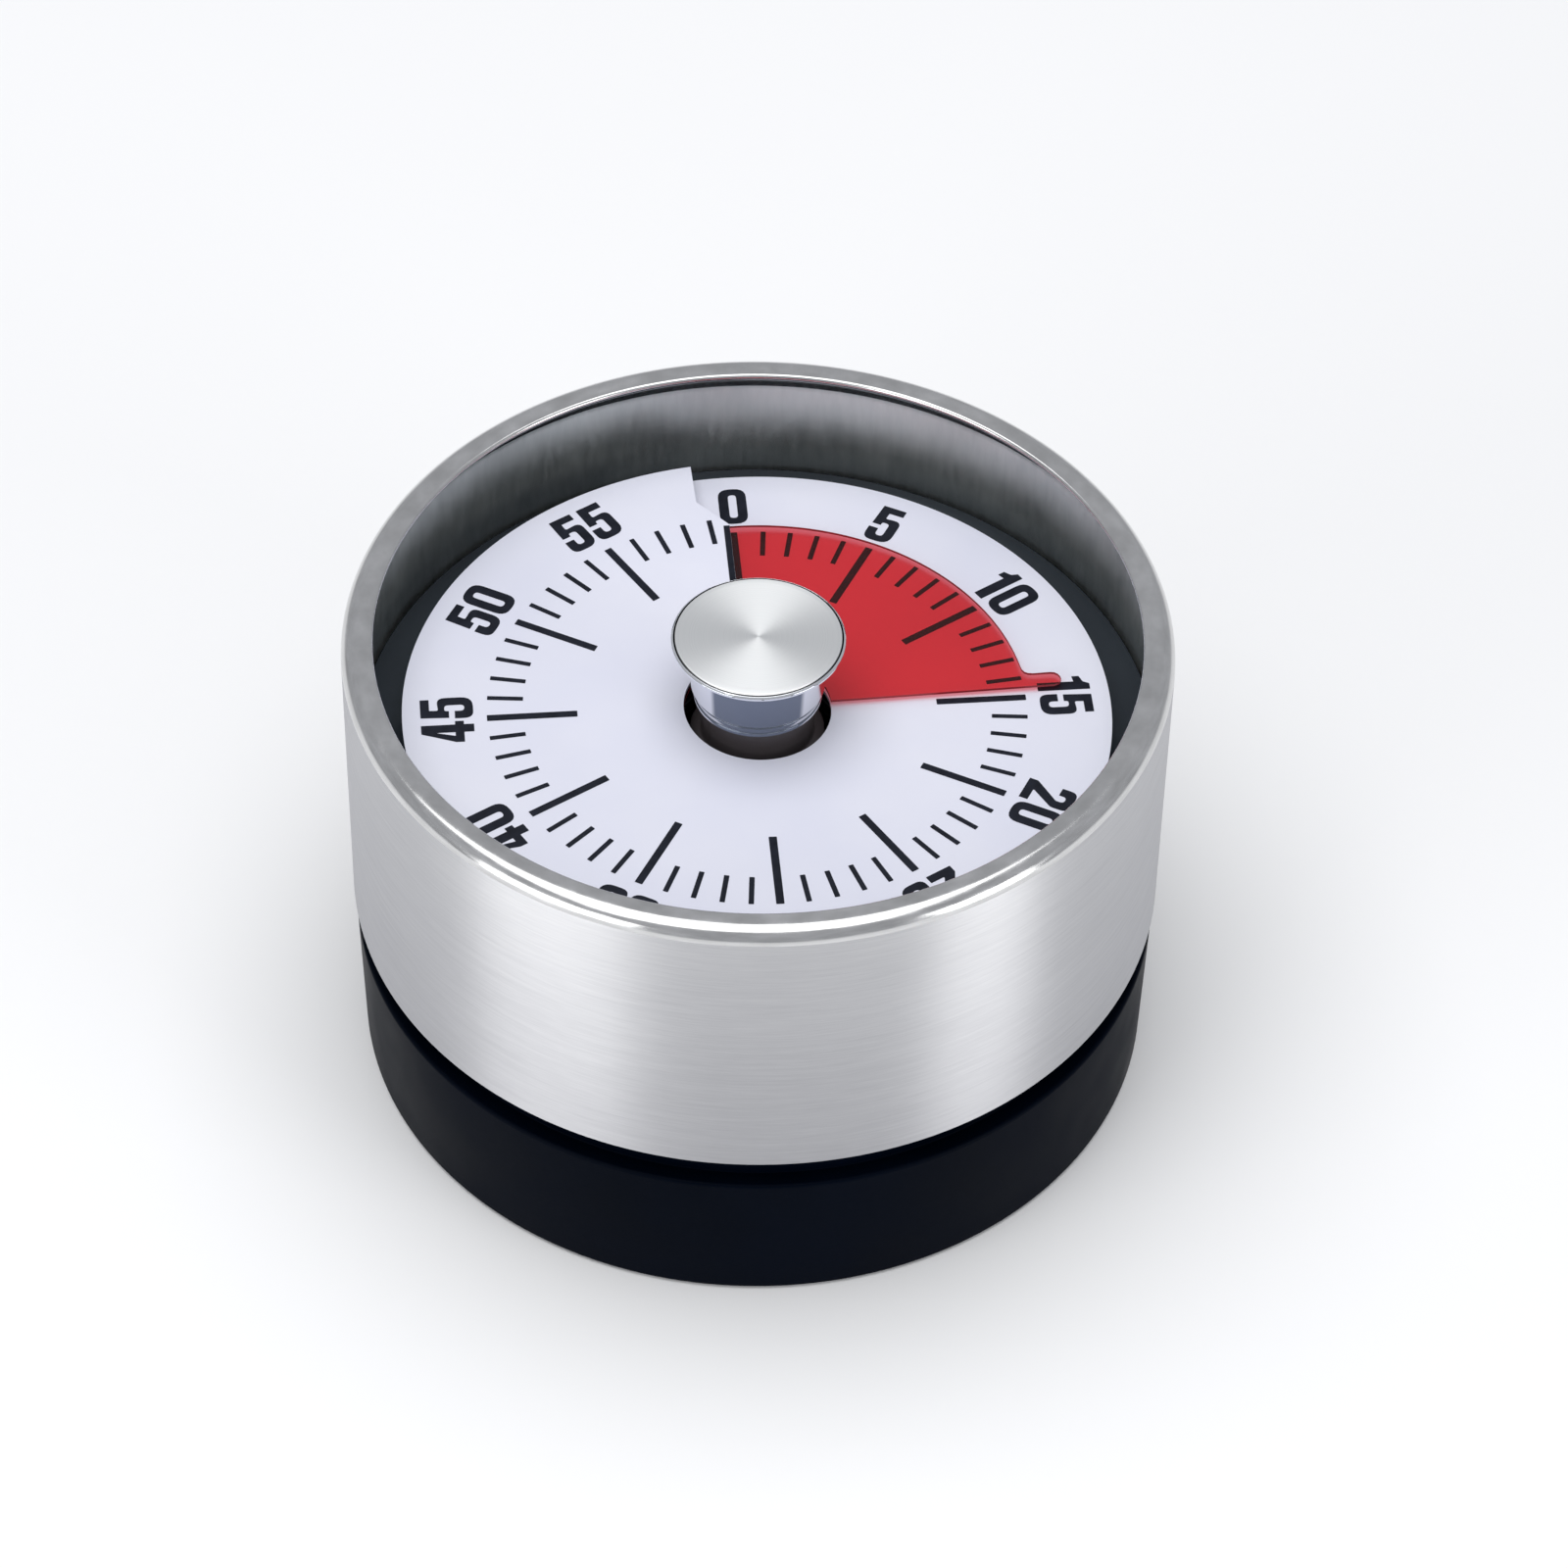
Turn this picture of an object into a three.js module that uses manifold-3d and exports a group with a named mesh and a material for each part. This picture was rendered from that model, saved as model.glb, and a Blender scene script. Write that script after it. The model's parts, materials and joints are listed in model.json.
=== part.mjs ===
// Wind-up 60-minute kitchen timer. A brushed steel shell stands on a black base. The white dial in its
// well is slit beside the 0 mark and rises once round like a screw thread, and a red film disc of the
// same rise is turned out of the slit by the centre knob. Millimetres, z = 0 is the table, minute 0 of
// the dial points to +Y, minute 15 to +X, and minutes run clockwise seen from above.

import * as THREE from "three";
import { mergeVertices } from "three/addons/utils/BufferGeometryUtils.js";
import Module from "manifold-3d";

const wasm = await Module();
wasm.setup();

// ---------------------------------------------------------------- driving dimensions
const GAP = 0.3; // clearance left between separate pieces that rest on each other
const LARGE = 36; // sides of the big round pieces
const MEDIUM = 24;
const SMALL = 12;
const TINY = 8;

const SHELL_R = 39; // outside of the steel shell
const SHELL_TOP = 49.8;
const SHELL_BOTTOM = 18.7;
const SHEET = 0.6; // thickness of the shell's steel
const LIP_R = 36; // inner edge of the shell's inward lip
const LIP_EDGE_Z = 49.4;

const BASE_R = 38.77; // black base, at the groove under the shell
const BASE_FOOT_R = 38.5;
const BASE_TOP = 15.35;
const NECK_R = 37; // bottom of the groove between base and shell
const CASE_R = 35.6; // inside of the base housing
const COVER_TOP = 3;

const FLOOR_TOP = 35.5; // black floor of the well
const FLOOR_BOTTOM = 34;
const CARRIER_TOP_Z = FLOOR_BOTTOM - GAP; // top of the housing wall that carries the floor

const DIAL_Z = 38.9; // face of the dial at minute 0
const PITCH = 1.5; // rise of the dial and of the film disc in one turn
const DIAL_R = 33.6;
const DIAL_HOLE_R = 7;
const DIAL_THICK = 0.4;
const FLAP_OVERLAP = 4.5; // how far the low end of the dial runs on under the raised flap
const SLIT_X = 0.7; // the flap ends this far left of the 0 mark

const FILM_R = 25.7;
const FILM_THICK = 0.25;
const REST_ANGLE = 88.2; // leading edge of the red film at rest, degrees clockwise from minute 0
const TAB_TIP_R = 29.2;
const TAB_WIDTH = 1.7;

const KNOB_R = 8.2;
const KNOB_TOP = 49.1;
const KNOB_BOTTOM = 41.7;
const KNOB_FOOT_R = 6.1; // ring round the foot of the knob
const KNOB_NECK_R = 6.4;
const CAP_BOTTOM = KNOB_TOP - 0.3;
const CAP_SEAT_R = 8; // recess in the knob's top that the cap is pressed into
const ARBOR_R = 2; // main arbor above the movement
const BARREL_R = 2.5; // main arbor between the plates
const REAR_BEARING_R = 1.4; // main arbor in the rear plate

const REAR_PLATE = { bottom: 13, top: 14, r: 26.5 };
const FRONT_PLATE = { bottom: 27.6, top: 28.6, r: 31.7 };
const PILLAR_ANGLES = [95, 215, 310];
const PILLAR_RING_R = 24.3;
const SCREW_ANGLES = [100, 220, 340];
const MOVEMENT_SCREW_RING_R = 29.3;
const COVER_SCREW_ANGLES = [30, 150, 270];
const COVER_SCREW_RING_R = 32;
const MAGNET_ANGLES = [90, 210, 330];
const MAGNET_RING_R = 16.5;
const MAGNET_R = 5;
const MAGNET_SIDES = 16;

// Going train: each wheel drives the next pinion. Tooth counts give 8 x 8 x 7.5 = 480 turns an hour.
const MESH_1 = { module: 0.65, wheel: 48, pinion: 6 };
const MESH_2 = { module: 0.51, wheel: 48, pinion: 6 };
const MESH_3 = { module: 0.45, wheel: 45, pinion: 6 };
const MAIN_WHEEL = { bottom: 21, top: 22 };
const SECOND_WHEEL = { bottom: 24.4, top: 25.2 };
const THIRD_WHEEL = { bottom: 22.9, top: 23.7 };
const ESCAPE_WHEEL = { teeth: 15, tipR: 5.4, rootR: 4.1, bottom: 25.4, top: 26.1 };
const WHEEL_ADDENDUM = 0.62; // in modules; short teeth on the wheels, so that no leaf is undercut
const LEAF_ADDENDUM = 0.8;
const PIVOT_R = 0.45;
const PIVOT_HOLE_R = 0.6;
const ARBOR_SEAT_R = 0.95;
const SEAT_HOLE_R = ARBOR_SEAT_R + 0.15;

// ---------------------------------------------------------------- places of the arbors
const radians = THREE.MathUtils.degToRad;
const centreDistance = ({ module, wheel, pinion }) => (module * (wheel + pinion)) / 2;

function polar(radius, degrees, from = [0, 0]) {
  return [from[0] + radius * Math.cos(radians(degrees)), from[1] + radius * Math.sin(radians(degrees))];
}

const TO_SECOND = 0; // directions from each arbor to the next, degrees from +X
const TO_THIRD = 100;
const TO_ESCAPE = 160;
const TO_PALLET = 165;
const TO_BALANCE = 195;
const PALLET_DISTANCE = 8;
const BALANCE_DISTANCE = 11;

const MAIN_AT = [0, 0];
const SECOND_AT = polar(centreDistance(MESH_1), TO_SECOND, MAIN_AT);
const THIRD_AT = polar(centreDistance(MESH_2), TO_THIRD, SECOND_AT);
const ESCAPE_AT = polar(centreDistance(MESH_3), TO_ESCAPE, THIRD_AT);
const PALLET_AT = polar(PALLET_DISTANCE, TO_PALLET, ESCAPE_AT);
const BALANCE_AT = polar(BALANCE_DISTANCE, TO_BALANCE, PALLET_AT);
const HAMMER_AT = [-9, -12];
const HAMMER_HEAD_AT = [0, -21];
const LIFT_PIN_AT = [-6.2, -2.5];
const SPRING_POST_AT = polar(14.6, 250);
const HAIRSPRING_STUD_AT = polar(5, 80, BALANCE_AT);
const CLICK_AT = polar(7.6, 255);

// ---------------------------------------------------------------- shape helpers
function lathe(outline, segments = LARGE) {
  const points = outline.map(([r, z]) => new THREE.Vector2(r, z));
  return new THREE.LatheGeometry(points, segments).rotateX(Math.PI / 2);
}

// A closed ring: the outline runs counter-clockwise in (radius, height) and closes on itself.
const ring = (outline, segments) => lathe([...outline, outline[0]], segments);

function rod(radius, bottom, top, segments = SMALL, [x, y] = MAIN_AT) {
  return lathe([[0, bottom], [radius, bottom], [radius, top], [0, top]], segments).translate(x, y, 0);
}

function arc(r, z, radius, fromDegrees, toDegrees, steps) {
  return Array.from({ length: steps + 1 }, (_, i) => {
    const a = radians(fromDegrees + ((toDegrees - fromDegrees) * i) / steps);
    return [r + radius * Math.cos(a), z + radius * Math.sin(a)];
  });
}

function slab(shape, bottom, top) {
  const settings = { depth: top - bottom, bevelEnabled: false };
  return new THREE.ExtrudeGeometry(shape, settings).translate(0, 0, bottom);
}

const outlineShape = (points) => new THREE.Shape(points.map(([x, y]) => new THREE.Vector2(x, y)));

const circlePoints = (radius, sides, centre = MAIN_AT) =>
  Array.from({ length: sides }, (_, i) => polar(radius, (360 * i) / sides, centre));

function addHole(shape, radius, sides, centre = MAIN_AT) {
  const points = circlePoints(radius, sides, centre).map(([x, y]) => new THREE.Vector2(x, y));
  shape.holes.push(new THREE.Path(points));
}

// A flat bar between two points in plan.
function bar([x0, y0], [x1, y1], width, bottom, top) {
  const length = Math.hypot(x1 - x0, y1 - y0);
  return new THREE.BoxGeometry(length, width, top - bottom)
    .rotateZ(Math.atan2(y1 - y0, x1 - x0))
    .translate((x0 + x1) / 2, (y0 + y1) / 2, (bottom + top) / 2);
}

// ---------------------------------------------------------------- cutting and joining
function toSolid(geometry) {
  const bare = geometry.clone();
  bare.deleteAttribute("normal");
  bare.deleteAttribute("uv");
  const merged = mergeVertices(bare, 1e-4);
  const corners = merged.index.array;
  const triangles = [];
  for (let i = 0; i < corners.length; i += 3) {
    const [a, b, c] = [corners[i], corners[i + 1], corners[i + 2]];
    if (a !== b && b !== c && c !== a) triangles.push(a, b, c);
  }
  const vertProperties = new Float32Array(merged.attributes.position.array);
  const triVerts = new Uint32Array(triangles);
  return new wasm.Manifold(new wasm.Mesh({ numProp: 3, vertProperties, triVerts }));
}

function toGeometry(solid) {
  const mesh = solid.getMesh();
  const geometry = new THREE.BufferGeometry();
  geometry.setAttribute("position", new THREE.BufferAttribute(new Float32Array(mesh.vertProperties), 3));
  geometry.setIndex(new THREE.BufferAttribute(new Uint32Array(mesh.triVerts), 1));
  const flat = geometry.toNonIndexed();
  flat.computeVertexNormals();
  return flat;
}

const join = (...pieces) => toGeometry(pieces.map(toSolid).reduce((a, b) => a.add(b)));

function cut(body, ...tools) {
  return toGeometry(tools.map(toSolid).reduce((a, b) => a.subtract(b), toSolid(body)));
}

// ---------------------------------------------------------------- screw-thread sheets
// A sheet that winds round the z axis. Each row is a radius with the angles, in degrees clockwise from
// minute 0, where the sheet starts and ends at that radius; top and bottom give its height at an angle.
function windingSheet(rows, top, bottom, columns) {
  const positions = [];
  const perSide = rows.length * (columns + 1);
  for (const height of [top, bottom]) {
    for (const { r, from, to } of rows) {
      for (let j = 0; j <= columns; j += 1) {
        const degrees = from + ((to - from) * j) / columns;
        const a = radians(degrees);
        positions.push(r * Math.sin(a), r * Math.cos(a), height(degrees));
      }
    }
  }
  const at = (side, row, column) => side * perSide + row * (columns + 1) + column;
  const index = [];
  const quad = (a, b, c, d) => index.push(a, b, c, a, c, d);
  const last = rows.length - 1;
  for (let i = 0; i < last; i += 1) {
    for (let j = 0; j < columns; j += 1) {
      quad(at(0, i, j), at(0, i, j + 1), at(0, i + 1, j + 1), at(0, i + 1, j));
      quad(at(1, i, j), at(1, i + 1, j), at(1, i + 1, j + 1), at(1, i, j + 1));
    }
    quad(at(0, i, 0), at(0, i + 1, 0), at(1, i + 1, 0), at(1, i, 0));
    quad(at(0, i, columns), at(1, i, columns), at(1, i + 1, columns), at(0, i + 1, columns));
  }
  for (let j = 0; j < columns; j += 1) {
    quad(at(0, 0, j), at(1, 0, j), at(1, 0, j + 1), at(0, 0, j + 1));
    quad(at(0, last, j), at(0, last, j + 1), at(1, last, j + 1), at(1, last, j));
  }
  const geometry = new THREE.BufferGeometry();
  geometry.setAttribute("position", new THREE.Float32BufferAttribute(positions, 3));
  geometry.setIndex(index);
  const flat = geometry.toNonIndexed();
  flat.computeVertexNormals();
  return flat;
}

// Angle that a point at radius r and this far sideways of a radial line stands off that line.
const sideAngle = (offset, r) => THREE.MathUtils.radToDeg(Math.asin(offset / r));

const dialFace = (degrees) => DIAL_Z + (PITCH * degrees) / 360;

// ---------------------------------------------------------------- shell and base
function steelShell() {
  const inner = SHELL_R - SHEET;
  const edge = 1.6; // outside radius of the rolled top edge
  const inside = 3.4; // the inside of the bend is filled out to a wider radius
  const bendZ = SHELL_TOP - SHEET - 0.1 - inside;
  return ring([
    [inner, SHELL_BOTTOM],
    [SHELL_R - 0.15, SHELL_BOTTOM],
    [SHELL_R, SHELL_BOTTOM + 0.15],
    ...arc(SHELL_R - edge, SHELL_TOP - edge, edge, 0, 90, 3),
    [LIP_R + 0.2, LIP_EDGE_Z + 0.15],
    [LIP_R, LIP_EDGE_Z - 0.4],
    ...arc(inner - inside, bendZ, inside, 66, 0, 4),
  ]);
}

function baseHousing() {
  const foot = 0.8; // rounding of the bottom edge
  const shoulder = 0.4;
  const coverSeatR = CASE_R + 0.6;
  const wallR = SHELL_R - SHEET - 0.35;
  const bottom = GAP;
  const wall = ring([
    [coverSeatR, bottom],
    ...arc(BASE_FOOT_R - foot, bottom + foot, foot, -90, 0, 2),
    ...arc(BASE_R - shoulder, BASE_TOP - shoulder, shoulder, 0, 90, 1),
    [NECK_R, BASE_TOP],
    [NECK_R, SHELL_BOTTOM + 0.9],
    [wallR, SHELL_BOTTOM + 0.9],
    [wallR, CARRIER_TOP_Z],
    [CASE_R, CARRIER_TOP_Z],
    [CASE_R, COVER_TOP + GAP],
    [coverSeatR, COVER_TOP + GAP],
  ]);
  const boss = { r: 2.6, bottom: COVER_TOP + GAP, top: 12, holeR: 1.05, ribWidth: 3 };
  const bossAt = (angle) => polar(COVER_SCREW_RING_R, angle);
  const bosses = COVER_SCREW_ANGLES.flatMap((angle) => [
    rod(boss.r, boss.bottom, boss.top, SMALL, bossAt(angle)),
    bar(bossAt(angle), polar(CASE_R + 0.7, angle), boss.ribWidth, boss.bottom, boss.top),
  ]);
  const holes = COVER_SCREW_ANGLES.map(
    (angle) => rod(boss.holeR, boss.bottom - 1, boss.top - 1, TINY, bossAt(angle)),
  );
  return cut(join(wall, ...bosses), ...holes);
}

function backCover() {
  const bottom = 0.4;
  const groove = { inner: 24.8, outer: 28.2, depth: 0.8 };
  const disc = lathe([
    [0, bottom],
    [groove.inner, bottom],
    [groove.inner, bottom + groove.depth],
    [groove.outer, bottom + groove.depth],
    [groove.outer, bottom],
    [CASE_R + 0.3, bottom],
    [CASE_R + 0.3, COVER_TOP],
    [0, COVER_TOP],
  ]);
  const pocketTop = 2.3;
  const sink = { r: 2.2, top: 1.9 };
  const holeR = 1.25;
  const screwAt = (angle) => polar(COVER_SCREW_RING_R, angle);
  const pockets = MAGNET_ANGLES.map(
    (angle) => rod(MAGNET_R + GAP, 0, pocketTop, MAGNET_SIDES, polar(MAGNET_RING_R, angle)),
  );
  const sinks = COVER_SCREW_ANGLES.map((angle) => rod(sink.r, 0, sink.top, SMALL, screwAt(angle)));
  const holes = COVER_SCREW_ANGLES.map((angle) => rod(holeR, 1, COVER_TOP + 1, TINY, screwAt(angle)));
  return cut(disc, ...pockets, ...sinks, ...holes);
}

const footRing = () => ring([[25.2, 0], [27.8, 0], [27.9, 0.9], [25.1, 0.9]]);

const magnet = () => rod(MAGNET_R, 0, 1.5, MAGNET_SIDES);

// A slotted screw standing head down, with the underside of its head at z = 0.
function screw({ headR, headHeight, shankR, length }) {
  const body = lathe([
    [0, -headHeight],
    [headR, -headHeight],
    [headR, 0],
    [shankR, 0],
    [shankR, length],
    [0, length],
  ], SMALL);
  const slot = new THREE.BoxGeometry(3 * headR, 0.45, headHeight).translate(0, 0, -headHeight);
  return cut(body, slot);
}

// ---------------------------------------------------------------- well floor, dial, film
function dialCarrier() {
  const boss = { r: 2.4, holeR: 0.95, bottom: FRONT_PLATE.top + GAP };
  const bossAt = (angle) => polar(MOVEMENT_SCREW_RING_R, angle);
  const rampInner = FILM_R + 0.7;
  const rampOuter = DIAL_R - 0.4;
  const skirt = { inner: 33.6, outer: CASE_R - 0.4, bottom: 31 };
  const floor = ring([
    [KNOB_R, FLOOR_BOTTOM],
    [skirt.inner, FLOOR_BOTTOM],
    [skirt.inner, skirt.bottom],
    [skirt.outer, skirt.bottom],
    [skirt.outer, FLOOR_BOTTOM],
    [SHELL_R - SHEET - GAP, FLOOR_BOTTOM],
    [SHELL_R - SHEET - GAP, FLOOR_TOP],
    [KNOB_R, FLOOR_TOP],
  ]);
  const rampTop = (degrees) => dialFace(degrees) - DIAL_THICK - GAP;
  const overlapAngle = sideAngle(FLAP_OVERLAP, rampInner) + 0.5;
  const span = { from: -overlapAngle, to: 360 - overlapAngle - 1 };
  const ramp = windingSheet(
    [{ r: rampInner, ...span }, { r: rampOuter, ...span }], rampTop, () => FLOOR_TOP - 0.7, 36,
  );
  // A raised step beside the first part of the dial.
  const ledgeRows = [[rampOuter - 0.5, 69], [34.2, 69], [34.5, 67.5]].map(([r, to]) => ({ r, from: 0, to }));
  const ledge = windingSheet(ledgeRows, () => FLOOR_TOP + 1.1, () => FLOOR_TOP - 0.5, 9);
  const bosses = SCREW_ANGLES.map(
    (angle) => rod(boss.r, boss.bottom, FLOOR_BOTTOM + 0.5, SMALL, bossAt(angle)),
  );
  const holes = SCREW_ANGLES.map(
    (angle) => rod(boss.holeR, boss.bottom - 1, FLOOR_BOTTOM - 0.8, TINY, bossAt(angle)),
  );
  return cut(join(floor, ramp, ledge, ...bosses), ...holes);
}

function dialSheet() {
  const rows = [DIAL_HOLE_R, DIAL_R].map((r) => ({
    r, from: -sideAngle(FLAP_OVERLAP, r), to: 360 - sideAngle(SLIT_X, r),
  }));
  const sheet = windingSheet(rows, dialFace, (degrees) => dialFace(degrees) - DIAL_THICK, 48);
  // The notch in the raised flap that the pointer tab shows through at minute 0.
  const notch = outlineShape([
    [-SLIT_X - 0.1, 24.8], [2, 24.8], [2, DIAL_R + 1], [-3.9, DIAL_R + 1], [-3.7, 28.2],
  ]);
  return cut(sheet, slab(notch, DIAL_Z + PITCH / 2, DIAL_Z + 2 * PITCH));
}

// The film lies half a pitch above the dial as far as its leading edge, and half a pitch below it after.
function filmDisc() {
  const middle = (degrees) => dialFace(degrees) - DIAL_THICK / 2 + PITCH / 2;
  const top = (degrees) => middle(degrees) + FILM_THICK / 2;
  const bottom = (degrees) => middle(degrees) - FILM_THICK / 2;
  const span = { from: REST_ANGLE - 359, to: REST_ANGLE };
  const disc = windingSheet([{ r: DIAL_HOLE_R, ...span }, { r: FILM_R, ...span }], top, bottom, 48);
  const tabRow = (r, inset) => ({
    r, from: REST_ANGLE - sideAngle(TAB_WIDTH - inset, r), to: REST_ANGLE - sideAngle(inset + 0.02, r),
  });
  const tabRows = [
    tabRow(FILM_R - 0.6, 0),
    tabRow(TAB_TIP_R - 0.5, 0),
    tabRow(TAB_TIP_R - 0.1, 0.2),
    tabRow(TAB_TIP_R, 0.6),
  ];
  return join(disc, windingSheet(tabRows, top, bottom, 3));
}

// ---------------------------------------------------------------- knob
function discHub() {
  const boreR = ARBOR_R + GAP;
  const flange = { r: 6.4, top: 37 };
  const neckR = 5.4;
  return ring([
    [boreR, FLOOR_BOTTOM], [flange.r, FLOOR_BOTTOM], [flange.r, flange.top], [neckR, flange.top + 0.4],
    [neckR, KNOB_BOTTOM - GAP], [boreR, KNOB_BOTTOM - GAP],
  ], MEDIUM);
}

// A thin head on a nearly straight neck, with a ring round its foot.
function knobBody() {
  const boreR = ARBOR_R + GAP;
  const boreTop = KNOB_TOP - 3;
  const seatZ = CAP_BOTTOM - GAP;
  const rimZ = KNOB_TOP - 0.1;
  return lathe([
    [0, boreTop],
    [boreR, boreTop],
    [boreR, KNOB_BOTTOM],
    [KNOB_FOOT_R - 0.2, KNOB_BOTTOM],
    [KNOB_FOOT_R, KNOB_BOTTOM + 0.1],
    [KNOB_FOOT_R + 0.05, KNOB_BOTTOM + 1.2],
    [KNOB_NECK_R - 0.05, KNOB_BOTTOM + 1.4],
    [KNOB_NECK_R, KNOB_BOTTOM + 5.5],
    [KNOB_NECK_R + 0.5, KNOB_BOTTOM + 6.1],
    [KNOB_R, KNOB_BOTTOM + 6.6],
    [KNOB_R, rimZ - 0.1],
    [KNOB_R - 0.08, rimZ],
    [CAP_SEAT_R, rimZ],
    [CAP_SEAT_R, seatZ],
    [0, seatZ],
  ], MEDIUM);
}

function knobCap() {
  const r = CAP_SEAT_R - 0.15;
  const chamfer = 0.1;
  return lathe([
    [0, CAP_BOTTOM], [r, CAP_BOTTOM], [r, KNOB_TOP - chamfer], [r - chamfer, KNOB_TOP], [0, KNOB_TOP],
  ], MEDIUM);
}

// ---------------------------------------------------------------- toothed wheels
const PRESSURE_ANGLE = radians(20);
const involute = (angle) => Math.tan(angle) - angle;

// Half the angle that a tooth takes up at radius r.
function toothHalfAngle(teeth, pitchR, slimness, r) {
  const baseR = pitchR * Math.cos(PRESSURE_ANGLE);
  const pressureAt = Math.acos(Math.min(1, baseR / Math.max(r, baseR)));
  return (Math.PI / (2 * teeth)) * slimness + involute(PRESSURE_ANGLE) - involute(pressureAt);
}

function gearShape({ teeth, module, addendum, flankSteps, boreR, windows = 0 }) {
  const slimness = 0.8; // part of the full tooth thickness that is left, for backlash
  const pitchR = (teeth * module) / 2;
  const rootR = pitchR - 1.1 * module;
  const tipR = pitchR + addendum * module;
  const radii = Array.from({ length: flankSteps + 1 }, (_, i) => rootR + ((tipR - rootR) * i) / flankSteps);
  const points = [];
  for (let tooth = 0; tooth < teeth; tooth += 1) {
    const centre = (2 * Math.PI * tooth) / teeth;
    for (const [side, order] of [[-1, radii], [1, [...radii].reverse()]]) {
      for (const r of order) {
        const a = centre + side * toothHalfAngle(teeth, pitchR, slimness, r);
        points.push([r * Math.cos(a), r * Math.sin(a)]);
      }
    }
  }
  const shape = outlineShape(points);
  if (boreR) addHole(shape, boreR, SMALL);
  for (let i = 0; i < windows; i += 1) {
    addHole(shape, 0.28 * pitchR, 10, polar(0.58 * pitchR, (360 * i) / windows + 45));
  }
  return shape;
}

function wheel(mesh, boreR, { bottom, top }) {
  const { module, wheel: teeth } = mesh;
  const shape = gearShape({ teeth, module, addendum: WHEEL_ADDENDUM, flankSteps: 1, boreR, windows: 3 });
  return slab(shape, bottom, top);
}

// Turns a pinion so that its leaves stand between the teeth of a wheel that has a tooth on its own +X.
function meshedLeafAngle(mesh, directionDegrees) {
  const direction = radians(directionDegrees);
  const toothPhase = (direction * mesh.wheel) / (2 * Math.PI);
  const fraction = toothPhase - Math.floor(toothPhase);
  return direction + Math.PI - ((0.5 - fraction) * 2 * Math.PI) / mesh.pinion;
}

// An arbor with its pinion cut on it. The driver is the wheel that turns the pinion, and seatZ is the
// underside of the wheel that the arbor carries.
function pinionArbor(mesh, directionDegrees, driver, seatZ) {
  const bottom = REAR_PLATE.bottom + 0.1;
  const top = FRONT_PLATE.top - 0.1;
  const shoulderLow = REAR_PLATE.top + GAP;
  const shoulderHigh = FRONT_PLATE.bottom - GAP;
  const shaft = lathe([
    [0, bottom], [PIVOT_R, bottom], [PIVOT_R, shoulderLow], [ARBOR_SEAT_R, shoulderLow],
    [ARBOR_SEAT_R, shoulderHigh], [PIVOT_R, shoulderHigh], [PIVOT_R, top], [0, top],
  ], 10);
  const { pinion: teeth, module } = mesh;
  const shape = gearShape({ teeth, module, addendum: LEAF_ADDENDUM, flankSteps: 2 });
  const proud = 0.4; // the pinion stands this far above and below its driver
  const leaves = slab(shape, driver.bottom - proud, driver.top + proud);
  leaves.rotateZ(meshedLeafAngle(mesh, directionDegrees));
  const collar = rod(1.6, seatZ - 0.6, seatZ - 0.1, SMALL);
  return join(shaft, leaves, collar);
}

// ---------------------------------------------------------------- movement frame
const TRAIN_PIVOTS = [SECOND_AT, THIRD_AT, ESCAPE_AT, PALLET_AT, BALANCE_AT].map(
  (at) => ({ at, r: PIVOT_HOLE_R }),
);
const PILLAR_HOLES = PILLAR_ANGLES.map((angle) => ({ at: polar(PILLAR_RING_R, angle), r: 1.2 }));

function plate({ bottom, top, r }, holes) {
  const shape = outlineShape(circlePoints(r, LARGE));
  for (const hole of holes) addHole(shape, hole.r, hole.sides ?? TINY, hole.at);
  return slab(shape, bottom, top);
}

function rearPlate() {
  const bearing = { at: MAIN_AT, r: REAR_BEARING_R + 0.35, sides: SMALL };
  const liftSlot = { at: LIFT_PIN_AT, r: 2.6, sides: SMALL };
  const window = { at: polar(19, 275), r: 4.5, sides: MEDIUM };
  return plate(REAR_PLATE, [bearing, ...TRAIN_PIVOTS, ...PILLAR_HOLES, liftSlot, window]);
}

function frontPlate() {
  const screws = SCREW_ANGLES.map((angle) => ({ at: polar(MOVEMENT_SCREW_RING_R, angle), r: 1 }));
  const window = { at: polar(17, 250), r: 7, sides: MEDIUM };
  const bearing = { at: MAIN_AT, r: ARBOR_R + GAP, sides: SMALL };
  return plate(FRONT_PLATE, [bearing, ...TRAIN_PIVOTS, ...PILLAR_HOLES, ...screws, window]);
}

function pillar() {
  const spigotR = 0.95;
  const bodyR = 1.6;
  const nutTop = FRONT_PLATE.top + 1.7;
  return lathe([
    [0, REAR_PLATE.bottom + 0.1], [spigotR, REAR_PLATE.bottom + 0.1], [spigotR, REAR_PLATE.top + GAP],
    [bodyR, REAR_PLATE.top + GAP], [bodyR, FRONT_PLATE.bottom - GAP], [spigotR, FRONT_PLATE.bottom - GAP],
    [spigotR, nutTop], [0, nutTop],
  ], TINY);
}

function hexNut() {
  const shape = outlineShape(circlePoints(2.1, 6));
  addHole(shape, 1.2, 10);
  return slab(shape, 0, 1.2);
}

// ---------------------------------------------------------------- winding side
function mainArbor() {
  const shoulder = REAR_PLATE.top + 0.2;
  const upper = FRONT_PLATE.bottom - GAP;
  const tip = KNOB_TOP - 3.3;
  return lathe([
    [0, REAR_PLATE.bottom], [REAR_BEARING_R, REAR_PLATE.bottom], [REAR_BEARING_R, shoulder],
    [BARREL_R, shoulder], [BARREL_R, upper], [ARBOR_R, upper], [ARBOR_R, tip - 0.3], [ARBOR_R - 0.3, tip],
    [0, tip],
  ], 16);
}

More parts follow.
